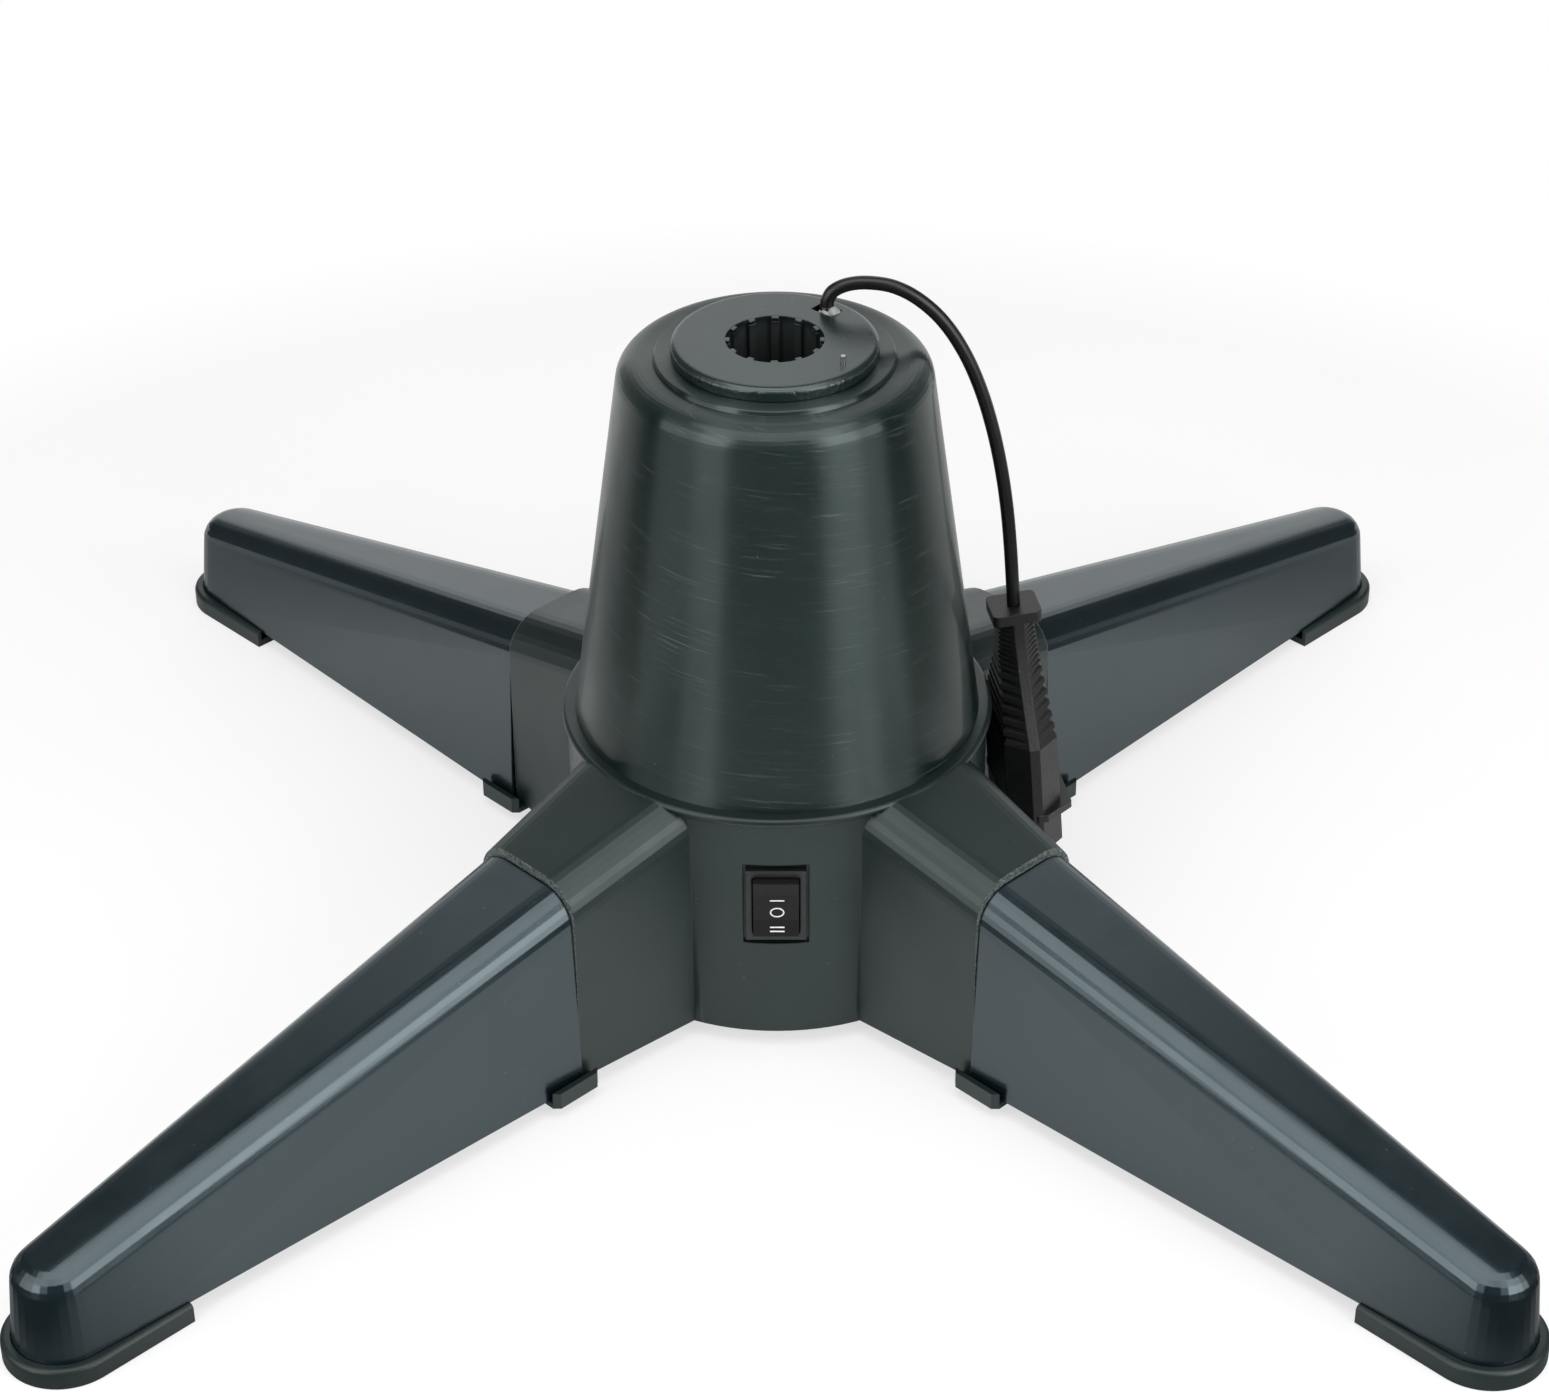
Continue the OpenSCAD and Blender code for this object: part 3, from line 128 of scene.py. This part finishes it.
def add_camera():
    data = bpy.data.cameras.new("camera")
    data.sensor_width = SENSOR_W
    data.lens = SENSOR_W * FOCAL_PIXELS / PHOTO_W
    data.shift_x = (PHOTO_W / 2 - CENTRE_X) / PHOTO_W
    data.clip_start, data.clip_end = CLIP
    camera = link(bpy.data.objects.new("camera", data))
    sin_a, cos_a = math.sin(CAM_AZIMUTH), math.cos(CAM_AZIMUTH)
    sin_p, cos_p = math.sin(CAM_PITCH), math.cos(CAM_PITCH)
    forward = Vector((-sin_a * cos_p, cos_a * cos_p, -sin_p))
    right = Vector((cos_a, sin_a, 0))
    up = right.cross(forward)
    across = right * math.cos(CAM_ROLL) + up * math.sin(CAM_ROLL)
    upright = up * math.cos(CAM_ROLL) - right * math.sin(CAM_ROLL)
    turn = Matrix((across, upright, -forward)).transposed().to_4x4()
    place = Matrix.Translation((CAM_DISTANCE * sin_a, -CAM_DISTANCE * cos_a, CAM_HEIGHT))
    camera.matrix_world = place @ turn
    bpy.context.scene.camera = camera


add_camera()
bpy.context.scene.view_settings.view_transform = "Standard"


# ---------------------------------------------------------------- cords

LEAD_D = 3.4
LEAD_SIDES = 24
LEAD_ROUTE = [            # from the disc's slot over the cover's edge and down to the socket
    (12.6, 15, 175.1), (12.8, 15, 176.8), (14.3, 15.1, 179.1), (18, 15.2, 180.75),
    (23, 15.1, 181.15), (29, 14.9, 180.1), (35, 14.6, 176.8), (41, 14.2, 171),
    (46.4, 13.8, 162.4), (50.6, 13.3, 152.4), (53.8, 12.6, 141.6), (56.2, 11.9, 130.4),
    (57.9, 11.1, 119.2), (59, 10.4, 108.4), (59.7, 10, 99.4), (60.2, 10, 92.5),
]
MAINS_D = 5
MAINS_ROUTE = [           # from the cord grip at the drum's back down to the coil
    (-14, 75.74, 12), (-14, 79.5, 11.9), (-14.3, 85.4, 11), (-15, 92, 9.1), (-16.2, 98.5, 6.7),
    (-17.8, 105, 4.7), (-19.6, 111.5, 3.3), (-21.4, 118, 2.7), (-23, 125, 2.6),
    (-24.3, 132, 2.6), (-25, 138.3, 2.6),
]
TAIL_ROUTE = [            # from the coil's top round to the plug that lies on it
    (-25.1, 147, 19.8), (-25, 152.5, 20.8), (-23.9, 158.8, 22.4), (-20.4, 164.9, 24.1),
    (-15.1, 169.3, 25.4), (-8.6, 171.7, 26.3), (-1.6, 171.7, 27), (4.9, 169.3, 27.7),
    (10.2, 164.9, 28.3), (13.6, 159.6, 28.8), (14.9, 155.5, 29), (15, 152, 29),
]
COIL_AT = (8, 142)
COIL_OUT_R = 33.1
COIL_IN_R = 21.9
COIL_TURNS = 2            # in each layer
COIL_LAYERS = 4
COIL_PITCH = 5.6          # from layer to layer
COIL_LOW = 2.6            # height of the lowest layer's middle
COIL_CLIMB = 0.25         # turns before and after a change of layer in which the cord climbs
COIL_STEPS = 24           # points in a turn


def coil_point(t):
    """Point of the coil after t turns: it winds in and out again, layer on layer."""
    whole, part = divmod(t / COIL_TURNS, 1)
    fold = part if whole % 2 == 0 else 1 - part
    layer = math.floor(t / COIL_TURNS + 0.5)
    past = t - layer * COIL_TURNS
    if layer == 0:
        climb = 0
    elif layer >= COIL_LAYERS:
        climb = COIL_LAYERS - 1
    elif abs(past) >= COIL_CLIMB:
        climb = layer - 1 + (0 if past < 0 else 1)
    else:
        climb = layer - 1 + (1 + math.sin(math.pi / 2 * past / COIL_CLIMB)) / 2
    radius = COIL_OUT_R - (COIL_OUT_R - COIL_IN_R) * fold
    angle = math.pi - 2 * math.pi * t
    return (COIL_AT[0] + radius * math.cos(angle), COIL_AT[1] + radius * math.sin(angle),
            COIL_LOW + COIL_PITCH * climb)


coil_route = [coil_point(i / COIL_STEPS) for i in range(COIL_TURNS * COIL_LAYERS * COIL_STEPS + 1)]
light_line = smooth_route(LEAD_ROUTE)
mains_line = smooth_route(MAINS_ROUTE + coil_route + TAIL_ROUTE, 3)

light_cord = made_object("light_cord",
                         lambda bm: swept(bm, light_line, LEAD_D / 2 * MM, LEAD_SIDES))
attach(light_cord, "turntable")
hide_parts("light_lead")

mains_cord = made_object("mains_cord", lambda bm: swept(bm, mains_line, MAINS_D / 2 * MM))
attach(mains_cord, "base")
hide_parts("mains_lead", "mains_coil", "mains_tail")


# ---------------------------------------------------------------- materials

def srgb(red, green, blue):
    """A colour written as 0 to 255 sRGB, as the linear value that a shader takes."""
    def linear(c):
        c /= 255
        return c / 12.92 if c <= 0.04045 else ((c + 0.055) / 1.055) ** 2.4
    return (linear(red), linear(green), linear(blue), 1)


def tinted(colour, share):
    return tuple(c * share for c in colour[:3]) + (1,)


class Nodes:
    """Short calls for the shader nodes of a material or of the world."""

    def __init__(self, tree):
        self.tree = tree

    def node(self, kind, inputs=None, **settings):
        made = self.tree.nodes.new(kind)
        for key, value in settings.items():
            setattr(made, key, value)
        for key, value in (inputs or {}).items():
            self.put(made.inputs[key], value)
        return made

    def put(self, socket, value):
        if isinstance(value, bpy.types.NodeSocket):
            self.tree.links.new(value, socket)
        else:
            socket.default_value = value

    def place(self):
        """The place in the object's own frame."""
        return self.node("ShaderNodeTexCoord").outputs["Object"]

    def parts(self, vector):
        """The outputs X, Y and Z of a vector."""
        return self.node("ShaderNodeSeparateXYZ", {0: vector}).outputs

    def vector(self, **parts):
        """A vector from some of X, Y and Z."""
        return self.node("ShaderNodeCombineXYZ", parts).outputs[0]

    def length(self, vector):
        return self.node("ShaderNodeVectorMath", {0: vector}, operation="LENGTH").outputs["Value"]

    def stretched(self, scale):
        """That place with each axis scaled."""
        return self.node("ShaderNodeVectorMath", {0: self.place(), 1: scale},
                         operation="MULTIPLY").outputs[0]

    def noise(self, vector, scale, detail=3, rough=0.6):
        return self.node("ShaderNodeTexNoise", {"Vector": vector, "Scale": scale, "Detail": detail,
                                                "Roughness": rough}).outputs["Fac"]

    def ramp(self, value, low, high, to_low=0.0, to_high=1.0, **settings):
        return self.node("ShaderNodeMapRange", {"Value": value, "From Min": low, "From Max": high,
                                                "To Min": to_low, "To Max": to_high},
                         **settings).outputs["Result"]

    def math(self, operation, a, b=0.0):
        return self.node("ShaderNodeMath", {0: a, 1: b}, operation=operation).outputs[0]

    def product(self, a, b):
        return self.math("MULTIPLY", a, b)

    def mix(self, factor, a, b):
        """Two colours mixed: a where the factor is 0, b where it is 1."""
        return self.node("ShaderNodeMix", {0: factor, 6: a, 7: b}, data_type="RGBA").outputs[2]


class Shader(Nodes):
    """A Principled material."""

    def __init__(self, name):
        self.material = bpy.data.materials.new(name)
        self.material.use_nodes = True
        super().__init__(self.material.node_tree)
        self.surface = self.tree.nodes["Principled BSDF"]

    def set(self, key, value):
        self.put(self.surface.inputs[key], value)

    def relief(self, height, depth, edge):
        """Bumps of height times depth metres, on a surface with its edges rounded by edge."""
        rounded = self.node("ShaderNodeBevel", {"Radius": edge}, samples=4).outputs["Normal"]
        made = self.node("ShaderNodeBump", {"Height": height, "Distance": depth, "Strength": 1.0,
                                            "Normal": rounded})
        self.set("Normal", made.outputs["Normal"])


DUST = (0.25, 0.28, 0.28, 1)
MOULDED_EDGE = 0.0004
METAL_EDGE = 0.0002
METAL_RELIEF = 0.000004


def moulded(name, colour, roughness, grain=0.00002, grain_scale=2500, coat=0.0, gloss=0.5,
            shine=(1, 1, 1, 1), specks=0.3, extra=None):
    """Moulded plastic: fine grain, faint cloudiness, stray light specks and soft edges.

    extra(s, base, rough, height) may change the colour, the roughness and the relief
    before they are set.
    """
    s = Shader(name)
    clouds = s.noise(s.place(), 30, 4)
    base = s.mix(s.ramp(clouds, 0.35, 0.65), tinted(colour, 0.85), tinted(colour, 1.15))
    dust = s.ramp(s.noise(s.place(), 900, 2), 0.74, 0.8, 0, specks)
    base = s.mix(dust, base, DUST)
    polish = s.noise(s.place(), 70, 5)
    rough = s.ramp(polish, 0.3, 0.7, roughness - 0.04, roughness + 0.04)
    height = s.product(s.noise(s.place(), grain_scale, 2), grain)
    if extra:
        base, rough, height = extra(s, base, rough, height)
    s.set("Base Color", base)
    s.set("Roughness", rough)
    s.set("Coat Weight", coat)
    s.set("Coat Roughness", 0.1)
    s.set("Specular IOR Level", gloss)
    s.set("Specular Tint", shine)
    s.relief(height, 1.0, MOULDED_EDGE)
    return s.material


def metal(name, colour, roughness):
    """Bare or plated metal with a faintly uneven polish."""
    s = Shader(name)
    polish = s.noise(s.place(), 400, 4)
    s.set("Base Color", colour)
    s.set("Metallic", 1.0)
    s.set("Roughness", s.ramp(polish, 0.3, 0.7, roughness * 0.8, roughness * 1.25))
    s.relief(s.noise(s.stretched((1, 1, 12)), 900, 3), METAL_RELIEF, METAL_EDGE)
    return s.material


SCRATCH_SLANT = 0.0035    # metres that a scratch rises in each radian round the cover
SCRATCH_FINE = 1400       # scratches in a metre of height, about
SCRATCH_SHORT = 2.2       # how often a scratch breaks off in each radian
WORN_BAND = 90            # bands in a metre of height that are scratched more or less


def turned_scratches(s, base, rough, height):
    """Fine, slightly slanted scratches round the cover."""
    place = s.parts(s.place())
    angle = s.math("ARCTAN2", place["Y"], place["X"])
    level = s.math("ADD", place["Z"], s.product(angle, SCRATCH_SLANT))
    fine = s.vector(X=s.product(angle, SCRATCH_SHORT), Z=s.product(level, SCRATCH_FINE))
    lines = s.noise(fine, 1.0, 5, 0.7)
    broad = s.noise(s.vector(X=angle, Z=s.product(level, WORN_BAND)), 1.0, 3)
    worn = s.product(s.ramp(lines, 0.56, 0.72), s.ramp(broad, 0.35, 0.65))
    base = s.mix(s.product(worn, 0.3), base, DUST)
    rough = s.math("ADD", rough, s.product(worn, 0.16))
    height = s.math("ADD", height, s.product(lines, -0.000012))
    s.set("Anisotropic", 1.0)
    s.set("Anisotropic Rotation", 0.25)
    s.set("Tangent", s.node("ShaderNodeTangent", direction_type="RADIAL", axis="Z").outputs[0])
    return base, rough, height


ARM_END = 0.0857          # how far the arms' cut ends stand from the axis
ARM_CUT_LOW = 0.008       # the ends are sawn from here up
SAWN_GREEN = (0.17, 0.2, 0.19, 1)
SAWN_SCALE = (1500, 1500, 1500)
SAWN_RELIEF = 0.0002


def cut_ends(s, base, rough, height):
    """The arms' ends are sawn: lighter and rough."""
    place = s.parts(s.place())
    sum_xy = s.math("ADD", s.math("ABSOLUTE", place["X"]), s.math("ABSOLUTE", place["Y"]))
    along = s.product(sum_xy, math.sqrt(0.5))
    end = s.product(s.ramp(along, ARM_END - 0.0002, ARM_END - 0.0001),
                    s.ramp(place["Z"], ARM_CUT_LOW, ARM_CUT_LOW + 0.001))
    sawn = s.noise(s.stretched(SAWN_SCALE), 1.0, 4, 0.75)
    base = s.mix(s.product(end, s.ramp(sawn, 0.42, 0.62, 0.1, 1.0)), base, SAWN_GREEN)
    rough = s.math("ADD", rough, s.product(end, 0.25))
    height = s.math("ADD", height, s.product(s.product(end, sawn), SAWN_RELIEF))
    return base, rough, height


DISC_TOP = 173.9          # millimetres
TABLE_TOP = DISC_TOP * MM
TABLE_WALL = (0.0245, 0.025)
WALL_RELIEF = 0.0003
SOCKET_R = 0.0125         # everything nearer to the axis is inside the pole socket
# near black, painted inside the pole socket as the shade in its hole
SOCKET_PAINTED_SHADE = (0.001, 0.001, 0.001, 1)


def socket_painted_shade_and_coarse_wall(s, base, rough, height):
    """Painted shade: inside the fluted socket the colour is painted near black where shade falls
    in the hole, and it is dull there; the disc's side wall is coarse.
    """
    place = s.parts(s.place())
    radius = s.length(s.vector(X=place["X"], Y=place["Y"]))
    below = s.ramp(place["Z"], TABLE_TOP - 0.0004, TABLE_TOP - 0.003)
    inside = s.product(s.ramp(radius, SOCKET_R + 0.0002, SOCKET_R), below)
    # painted shade: the socket's inside is mixed to near black
    base = s.mix(s.product(inside, 0.9), base, SOCKET_PAINTED_SHADE)
    rough = s.math("ADD", rough, s.product(inside, 0.4))
    wall = s.product(s.ramp(radius, *TABLE_WALL),
                     s.ramp(place["Z"], TABLE_TOP - 0.0006, TABLE_TOP - 0.0012))
    coarse = s.product(s.product(wall, s.noise(s.place(), 700, 3)), WALL_RELIEF)
    height = s.math("ADD", height, coarse)
    return base, rough, height


DRUM_GREEN = srgb(20, 31, 30)
COVER_GREEN = srgb(7, 23, 20)
LEG_GREEN = srgb(10, 23, 27)

PLASTICS = {
    "drum_plastic": dict(colour=DRUM_GREEN, roughness=0.36, gloss=0.55, shine=(0.87, 1, 0.99, 1),
                         extra=cut_ends),
    "cover_plastic": dict(colour=COVER_GREEN, roughness=0.34, grain=0.000008, coat=0.25,
                          gloss=0.75, shine=(0.82, 1, 0.97, 1), extra=turned_scratches),
    # its extra paints shade inside the pole socket and makes the disc's side wall coarse
    "turntable_plastic": dict(colour=DRUM_GREEN, roughness=0.26, gloss=0.95,
                              shine=(0.88, 0.98, 1, 1), extra=socket_painted_shade_and_coarse_wall),
    "leg_plastic": dict(colour=LEG_GREEN, roughness=0.23, grain=0.000008, gloss=0.95,
                        shine=(0.76, 0.93, 1, 1)),
    "foot_rubber": dict(colour=srgb(24, 36, 36), roughness=0.4),
    "black_plastic": dict(colour=srgb(19, 18, 19), roughness=0.42, grain=0.00008,
                          grain_scale=1300, gloss=0.6),
    "rocker_plastic": dict(colour=srgb(9, 9, 10), roughness=0.55, gloss=0.35),
    "cord_black": dict(colour=srgb(16, 16, 17), roughness=0.35, grain=0.00001),
    "glue": dict(colour=srgb(150, 152, 150), roughness=0.4, grain=0.0002, grain_scale=900),
    "nylon": dict(colour=srgb(222, 217, 200), roughness=0.45, specks=0.0),
    "sleeve_white": dict(colour=srgb(232, 233, 234), roughness=0.35, specks=0.0),
    "brown_laminate": dict(colour=srgb(112, 84, 58), roughness=0.5),
    "carbon": dict(colour=srgb(34, 34, 35), roughness=0.6),
}
METALS = {                # colour and roughness
    "screw_zinc": (srgb(170, 172, 176), 0.35),
    "bright_steel": (srgb(190, 190, 192), 0.25),
    "pin_chrome": (srgb(96, 108, 104), 0.2),
    "motor_metal": (srgb(165, 168, 170), 0.4),
    "brass": (srgb(205, 170, 96), 0.3),
    "copper_ring": (srgb(190, 120, 82), 0.3),
}
LOOKS = {slot: moulded(slot, **look) for slot, look in PLASTICS.items()}
LOOKS.update({slot: metal(slot, *look) for slot, look in METALS.items()})

for node in nodes.values():
    for i, old in enumerate(node.data.materials):
        key = old.name.split(".")[0] if old else ""
        if key in LOOKS:
            node.data.materials[i] = LOOKS[key]
light_cord.data.materials.append(LOOKS["cord_black"])
mains_cord.data.materials.append(LOOKS["cord_black"])


# ---------------------------------------------------------------- small pieces for the picture

def mesh_piece(name, build, body, slot, smooth=True):
    """A mesh made by build(bm), given to a body and a material slot of the record."""
    piece = made_object(name, build, smooth)
    piece.data.materials.append(LOOKS[slot])
    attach(piece, body)
    return piece


# The rocker's face is flat in the middle and rises towards both ends
ROCKER_Z = 44.5
FACE_Y = -54.8            # its middle
FACE_FLAT = 3.69          # half height of the flat middle
FACE_SLOPE = 1.1 / 4.31
MARK_X = 0.27
MARK_W = 3.6
STROKE = 0.36
PRINT = 0.03              # thickness of the print
PRINT_ROOT = 0.01         # how far it goes into the face
BAR_AT = {"bar_on": 2.2, "bar_fast": -5.6, "bar_fast_low": -6.65}
RING_AT = -1.4
RING_H = 2.9
RING_POINTS = 48


def printed(name, outer, inner=None):
    """A raised print on the rocker, from one outline of (x, up), or from two for a ring."""
    def row(bm, outline, lift):
        verts = []
        for x, up in outline:
            face_y = FACE_Y - max(abs(up) - FACE_FLAT, 0) * FACE_SLOPE
            verts.append(bm.verts.new(((MARK_X + x) * MM, (face_y + lift) * MM,
                                       (ROCKER_Z + up) * MM)))
        return verts

    def build(bm):
        rows = [row(bm, outer, PRINT_ROOT), row(bm, outer, -PRINT)]
        if inner:
            rows += [row(bm, inner, -PRINT), row(bm, inner, PRINT_ROOT), rows[0]]
        skin(bm, rows, capped=not inner)

    mesh_piece(name, build, "rocker", "sleeve_white", smooth=False)


def bar(up):
    side, half = MARK_W / 2, STROKE / 2
    return [(-side, up - half), (side, up - half), (side, up + half), (-side, up + half)]


def ellipse(width, height):
    return [(width / 2 * math.cos(a), RING_AT + height / 2 * math.sin(a))
            for a in round_angles(RING_POINTS)]


for name, up in BAR_AT.items():
    printed(name, bar(up))
printed("ring_off", ellipse(MARK_W, RING_H), ellipse(MARK_W - 2 * STROKE, RING_H - 2 * STROKE))


# Glue round the lead in the disc's slot
SLOT_ANGLE = math.radians(50)
GLUE_AT = (19.7, 0.9, -0.6)   # out along the slot, to its side, and up from the disc's top
GLUE_SIZE = (2.3, 2.6, 1.7)   # half sizes in the same directions


def add_glue():
    out = Vector((math.cos(SLOT_ANGLE), math.sin(SLOT_ANGLE), 0))
    side = Vector((math.sin(SLOT_ANGLE), -math.cos(SLOT_ANGLE), 0))
    up = Vector((0, 0, 1))
    centre = out * GLUE_AT[0] + side * GLUE_AT[1] + up * (DISC_TOP + GLUE_AT[2])

    def build(bm):
        bmesh.ops.create_icosphere(bm, subdivisions=5, radius=1)
        for v in bm.verts:
            d = v.co.copy()
            lump = (1 + 0.16 * math.sin(4 * d.x + 2) * math.cos(3.3 * d.y - 1)
                    + 0.1 * math.sin(7 * d.y + 5 * d.z))
            shift = out * d.x * GLUE_SIZE[0] + side * d.y * GLUE_SIZE[1] + up * d.z * GLUE_SIZE[2]
            v.co = (centre + lump * shift) * MM

    glue = mesh_piece("glue_blob", build, "turntable", "glue")
    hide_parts("lead_anchor")


add_glue()

# The lead goes on down through the slot, under the point where it leaves the disc
STUB_STEPS = ((0, 0, 0), (-0.1, -0.1, -4), (-0.6, -0.3, -9))
stub_line = smooth_route([[a + b for a, b in zip(LEAD_ROUTE[0], step)] for step in STUB_STEPS])
mesh_piece("lead_stub", lambda bm: swept(bm, stub_line, LEAD_D / 2 * MM, LEAD_SIDES),
           "turntable", "cord_black")


# The ribs of the pole socket come up to the disc's top
RIB_COUNT = 12
RIB_HALF = 0.94
RIB_OUTLINE = [           # one rib from above: distance from the axis, and to the side
    (12.04, -RIB_HALF), (11.11, -RIB_HALF), (10.93, -0.84), (10.86, -0.64), (10.83, 0),
    (10.86, 0.64), (10.93, 0.84), (11.11, RIB_HALF), (12.04, RIB_HALF),
]
RIB_LEVELS = ((173.2, 0), (173.76, 0), (173.88, 0.1))    # height, and how far it draws in there


def add_rib_ends():
    last = len(RIB_OUTLINE) - 1

    def build(bm):
        for a in round_angles(RIB_COUNT):
            rings = []
            for z, inset in RIB_LEVELS:
                ring = []
                for i, (r, t) in enumerate(RIB_OUTLINE):
                    r += inset if 0 < i < last else 0
                    t *= 1 - inset / RIB_HALF
                    ring.append(bm.verts.new(((r * math.cos(a) - t * math.sin(a)) * MM,
                                              (r * math.sin(a) + t * math.cos(a)) * MM, z * MM)))
                rings.append(ring)
            skin(bm, rings)

    mesh_piece("rib_ends", build, "turntable", "turntable_plastic", smooth=False)


add_rib_ends()


# A strap that holds the coil's turns together, round its right side
TIE_WIDTH = 4.5
TIE_THICK = 0.6
TIE_CORNER = 3.0
TIE_CORNER_STEPS = 6
TIE_GAP = 0.15            # between the cord and the strap
TIE_LOW = 0.07            # height of the strap's inner side under the coil
TIE_FOOT = 0.02           # and of its outer side


def add_coil_tie():
    step = (COIL_OUT_R - COIL_IN_R) / (2 * COIL_TURNS)
    reach = MAINS_D / 2 + TIE_GAP
    inner = COIL_IN_R + step - reach
    outer = COIL_OUT_R - step + reach
    top = COIL_LOW + COIL_PITCH * (COIL_LAYERS - 1) + reach

    def loop(lift, lowest):
        """Rounded rectangle of (radius, height), grown outwards by lift."""
        points = []
        size = TIE_CORNER + lift
        middles = ((outer - TIE_CORNER, top - TIE_CORNER), (inner + TIE_CORNER, top - TIE_CORNER),
                   (inner + TIE_CORNER, TIE_LOW + TIE_CORNER),
                   (outer - TIE_CORNER, TIE_LOW + TIE_CORNER))
        for quarter, (r, z) in enumerate(middles):
            for k in range(TIE_CORNER_STEPS + 1):
                a = math.radians(90 * (quarter + k / TIE_CORNER_STEPS))
                points.append((r + size * math.cos(a), max(z + size * math.sin(a), lowest)))
        return points

    def build(bm):
        rows = []
        for across, lift, lowest in ((-0.5, 0, TIE_LOW), (0.5, 0, TIE_LOW),
                                     (0.5, TIE_THICK, TIE_FOOT), (-0.5, TIE_THICK, TIE_FOOT)):
            y = (COIL_AT[1] + across * TIE_WIDTH) * MM
            rows.append([bm.verts.new(((COIL_AT[0] + r) * MM, y, z * MM))
                         for r, z in loop(lift, lowest)])
        skin(bm, rows + rows[:1], capped=False)

    mesh_piece("coil_tie", build, "base", "cord_black", smooth=False)


add_coil_tie()


# ---------------------------------------------------------------- floor, world and lamps

FLOOR_HALF = 4
FLOOR_DROP = 0.0002       # keeps the floor clear of the feet's undersides
NEAR = (0.24, 0.42)       # the floor keeps the shadow up to here and is plain white beyond
MIRRORED = (0.19, 0.26)   # the same for reflections
BEHIND = (0.06, 0.3)      # reflected, it is dark in front of this line, as in a dark studio
STUDIO = 0.06             # level of that darkness
PALE = 0.65               # how far the shadow near the object is lightened in the picture
WALL_TOP = 0.84           # sine of the height at which the white backdrop ends
WALL_SOFT = 0.03          # half the width of that end
WALL_SIDE = (0.84, 0.9)   # cosine of the bearing from straight behind at the backdrop's sides
CEILING = 0.1             # level of the studio above the backdrop and in front
WHITE = (1, 1, 1, 1)


def add_floor():
    h = FLOOR_HALF
    mesh = bpy.data.meshes.new("floor")
    mesh.from_pydata([(-h, -h, 0), (h, -h, 0), (h, h, 0), (-h, h, 0)], [], [(0, 1, 2, 3)])
    floor = link(bpy.data.objects.new("floor", mesh))
    floor.location.z = -FLOOR_DROP
    s = Shader("floor_white")
    s.set("Base Color", s.mix(s.ramp(s.noise(s.place(), 6, 3), 0.3, 0.7),
                              srgb(251, 251, 251), srgb(254, 254, 254)))
    s.set("Roughness", s.ramp(s.noise(s.place(), 3, 2), 0, 1, 0.75, 0.85))
    s.set("Specular IOR Level", 0.1)
    reach = s.length(s.place())
    along = s.parts(s.place())["Y"]
    ray = s.node("ShaderNodeLightPath").outputs
    mirrored = s.math("MAXIMUM", ray["Is Glossy Ray"], ray["Is Transmission Ray"])
    level = s.math("MAXIMUM", ray["Is Camera Ray"], s.ramp(along, *BEHIND, STUDIO, 1.0))
    glow = s.node("ShaderNodeEmission", {"Color": WHITE, "Strength": level})
    pale = s.product(ray["Is Camera Ray"], s.math("MAXIMUM", s.ramp(reach, *NEAR), PALE))
    shown = s.math("MAXIMUM", pale, s.product(s.ramp(reach, *MIRRORED), mirrored))
    both = s.node("ShaderNodeMixShader", {0: shown, 1: s.surface.outputs[0], 2: glow.outputs[0]})
    s.put(s.tree.nodes["Material Output"].inputs["Surface"], both.outputs[0])
    mesh.materials.append(s.material)


def add_world():
    """A white backdrop behind the object up to WALL_TOP, and a dim studio elsewhere."""
    world = bpy.data.worlds.new("studio")
    bpy.context.scene.world = world
    world.use_nodes = True
    w = Nodes(world.node_tree)
    towards = w.parts(w.node("ShaderNodeTexCoord").outputs["Generated"])
    up = towards["Z"]
    along_floor = w.math("SQRT", w.math("SUBTRACT", 1.0001, w.product(up, up)))
    bearing = w.math("DIVIDE", towards["Y"], along_floor)
    behind = w.ramp(bearing, *WALL_SIDE, interpolation_type="SMOOTHSTEP")
    low = w.ramp(up, WALL_TOP - WALL_SOFT, WALL_TOP + WALL_SOFT, 1, 0,
                 interpolation_type="SMOOTHSTEP")
    level = w.ramp(w.product(behind, low), 0, 1, CEILING, 1)
    camera_ray = w.node("ShaderNodeLightPath").outputs["Is Camera Ray"]
    back = w.tree.nodes["Background"]
    w.put(back.inputs["Color"], w.math("MAXIMUM", level, camera_ray))
    w.put(back.inputs["Strength"], 1.0)


LAMP_AIM = (0, 0, 0.08)
# Azimuth (0 in front, positive to the right), elevation, distance, width, height and power
LAMPS = {
    "left_box": (-58, 22, 1.1, 1.05, 0.8, 4.6),
    "left_strip": (-43, 22, 1.12, 0.4, 0.8, 1.6),
    "right_box": (54, 22, 1.1, 0.95, 0.8, 6),
    "right_strip": (48, 22, 1.12, 0.42, 0.8, 2.2),
    "top_box": (0, 73, 1.3, 1.7, 1.0, 13),
}


def add_lamp(name, azimuth, elevation, distance, width, height, power):
    """A soft box that looks at the drum; the angles are in degrees."""
    data = bpy.data.lights.new(name, "AREA")
    data.shape = "RECTANGLE"
    data.size = width
    data.size_y = height
    data.energy = power
    lamp = link(bpy.data.objects.new(name, data))
    a, e = math.radians(azimuth), math.radians(elevation)
    aim = Vector(LAMP_AIM)
    towards = Vector((math.sin(a) * math.cos(e), -math.cos(a) * math.cos(e), math.sin(e)))
    lamp.location = aim + distance * towards
    lamp.rotation_euler = (lamp.location - aim).to_track_quat("Z", "Y").to_euler()


add_floor()
add_world()
for name, numbers in LAMPS.items():
    add_lamp(name, *numbers)

bpy.context.view_layer.update()
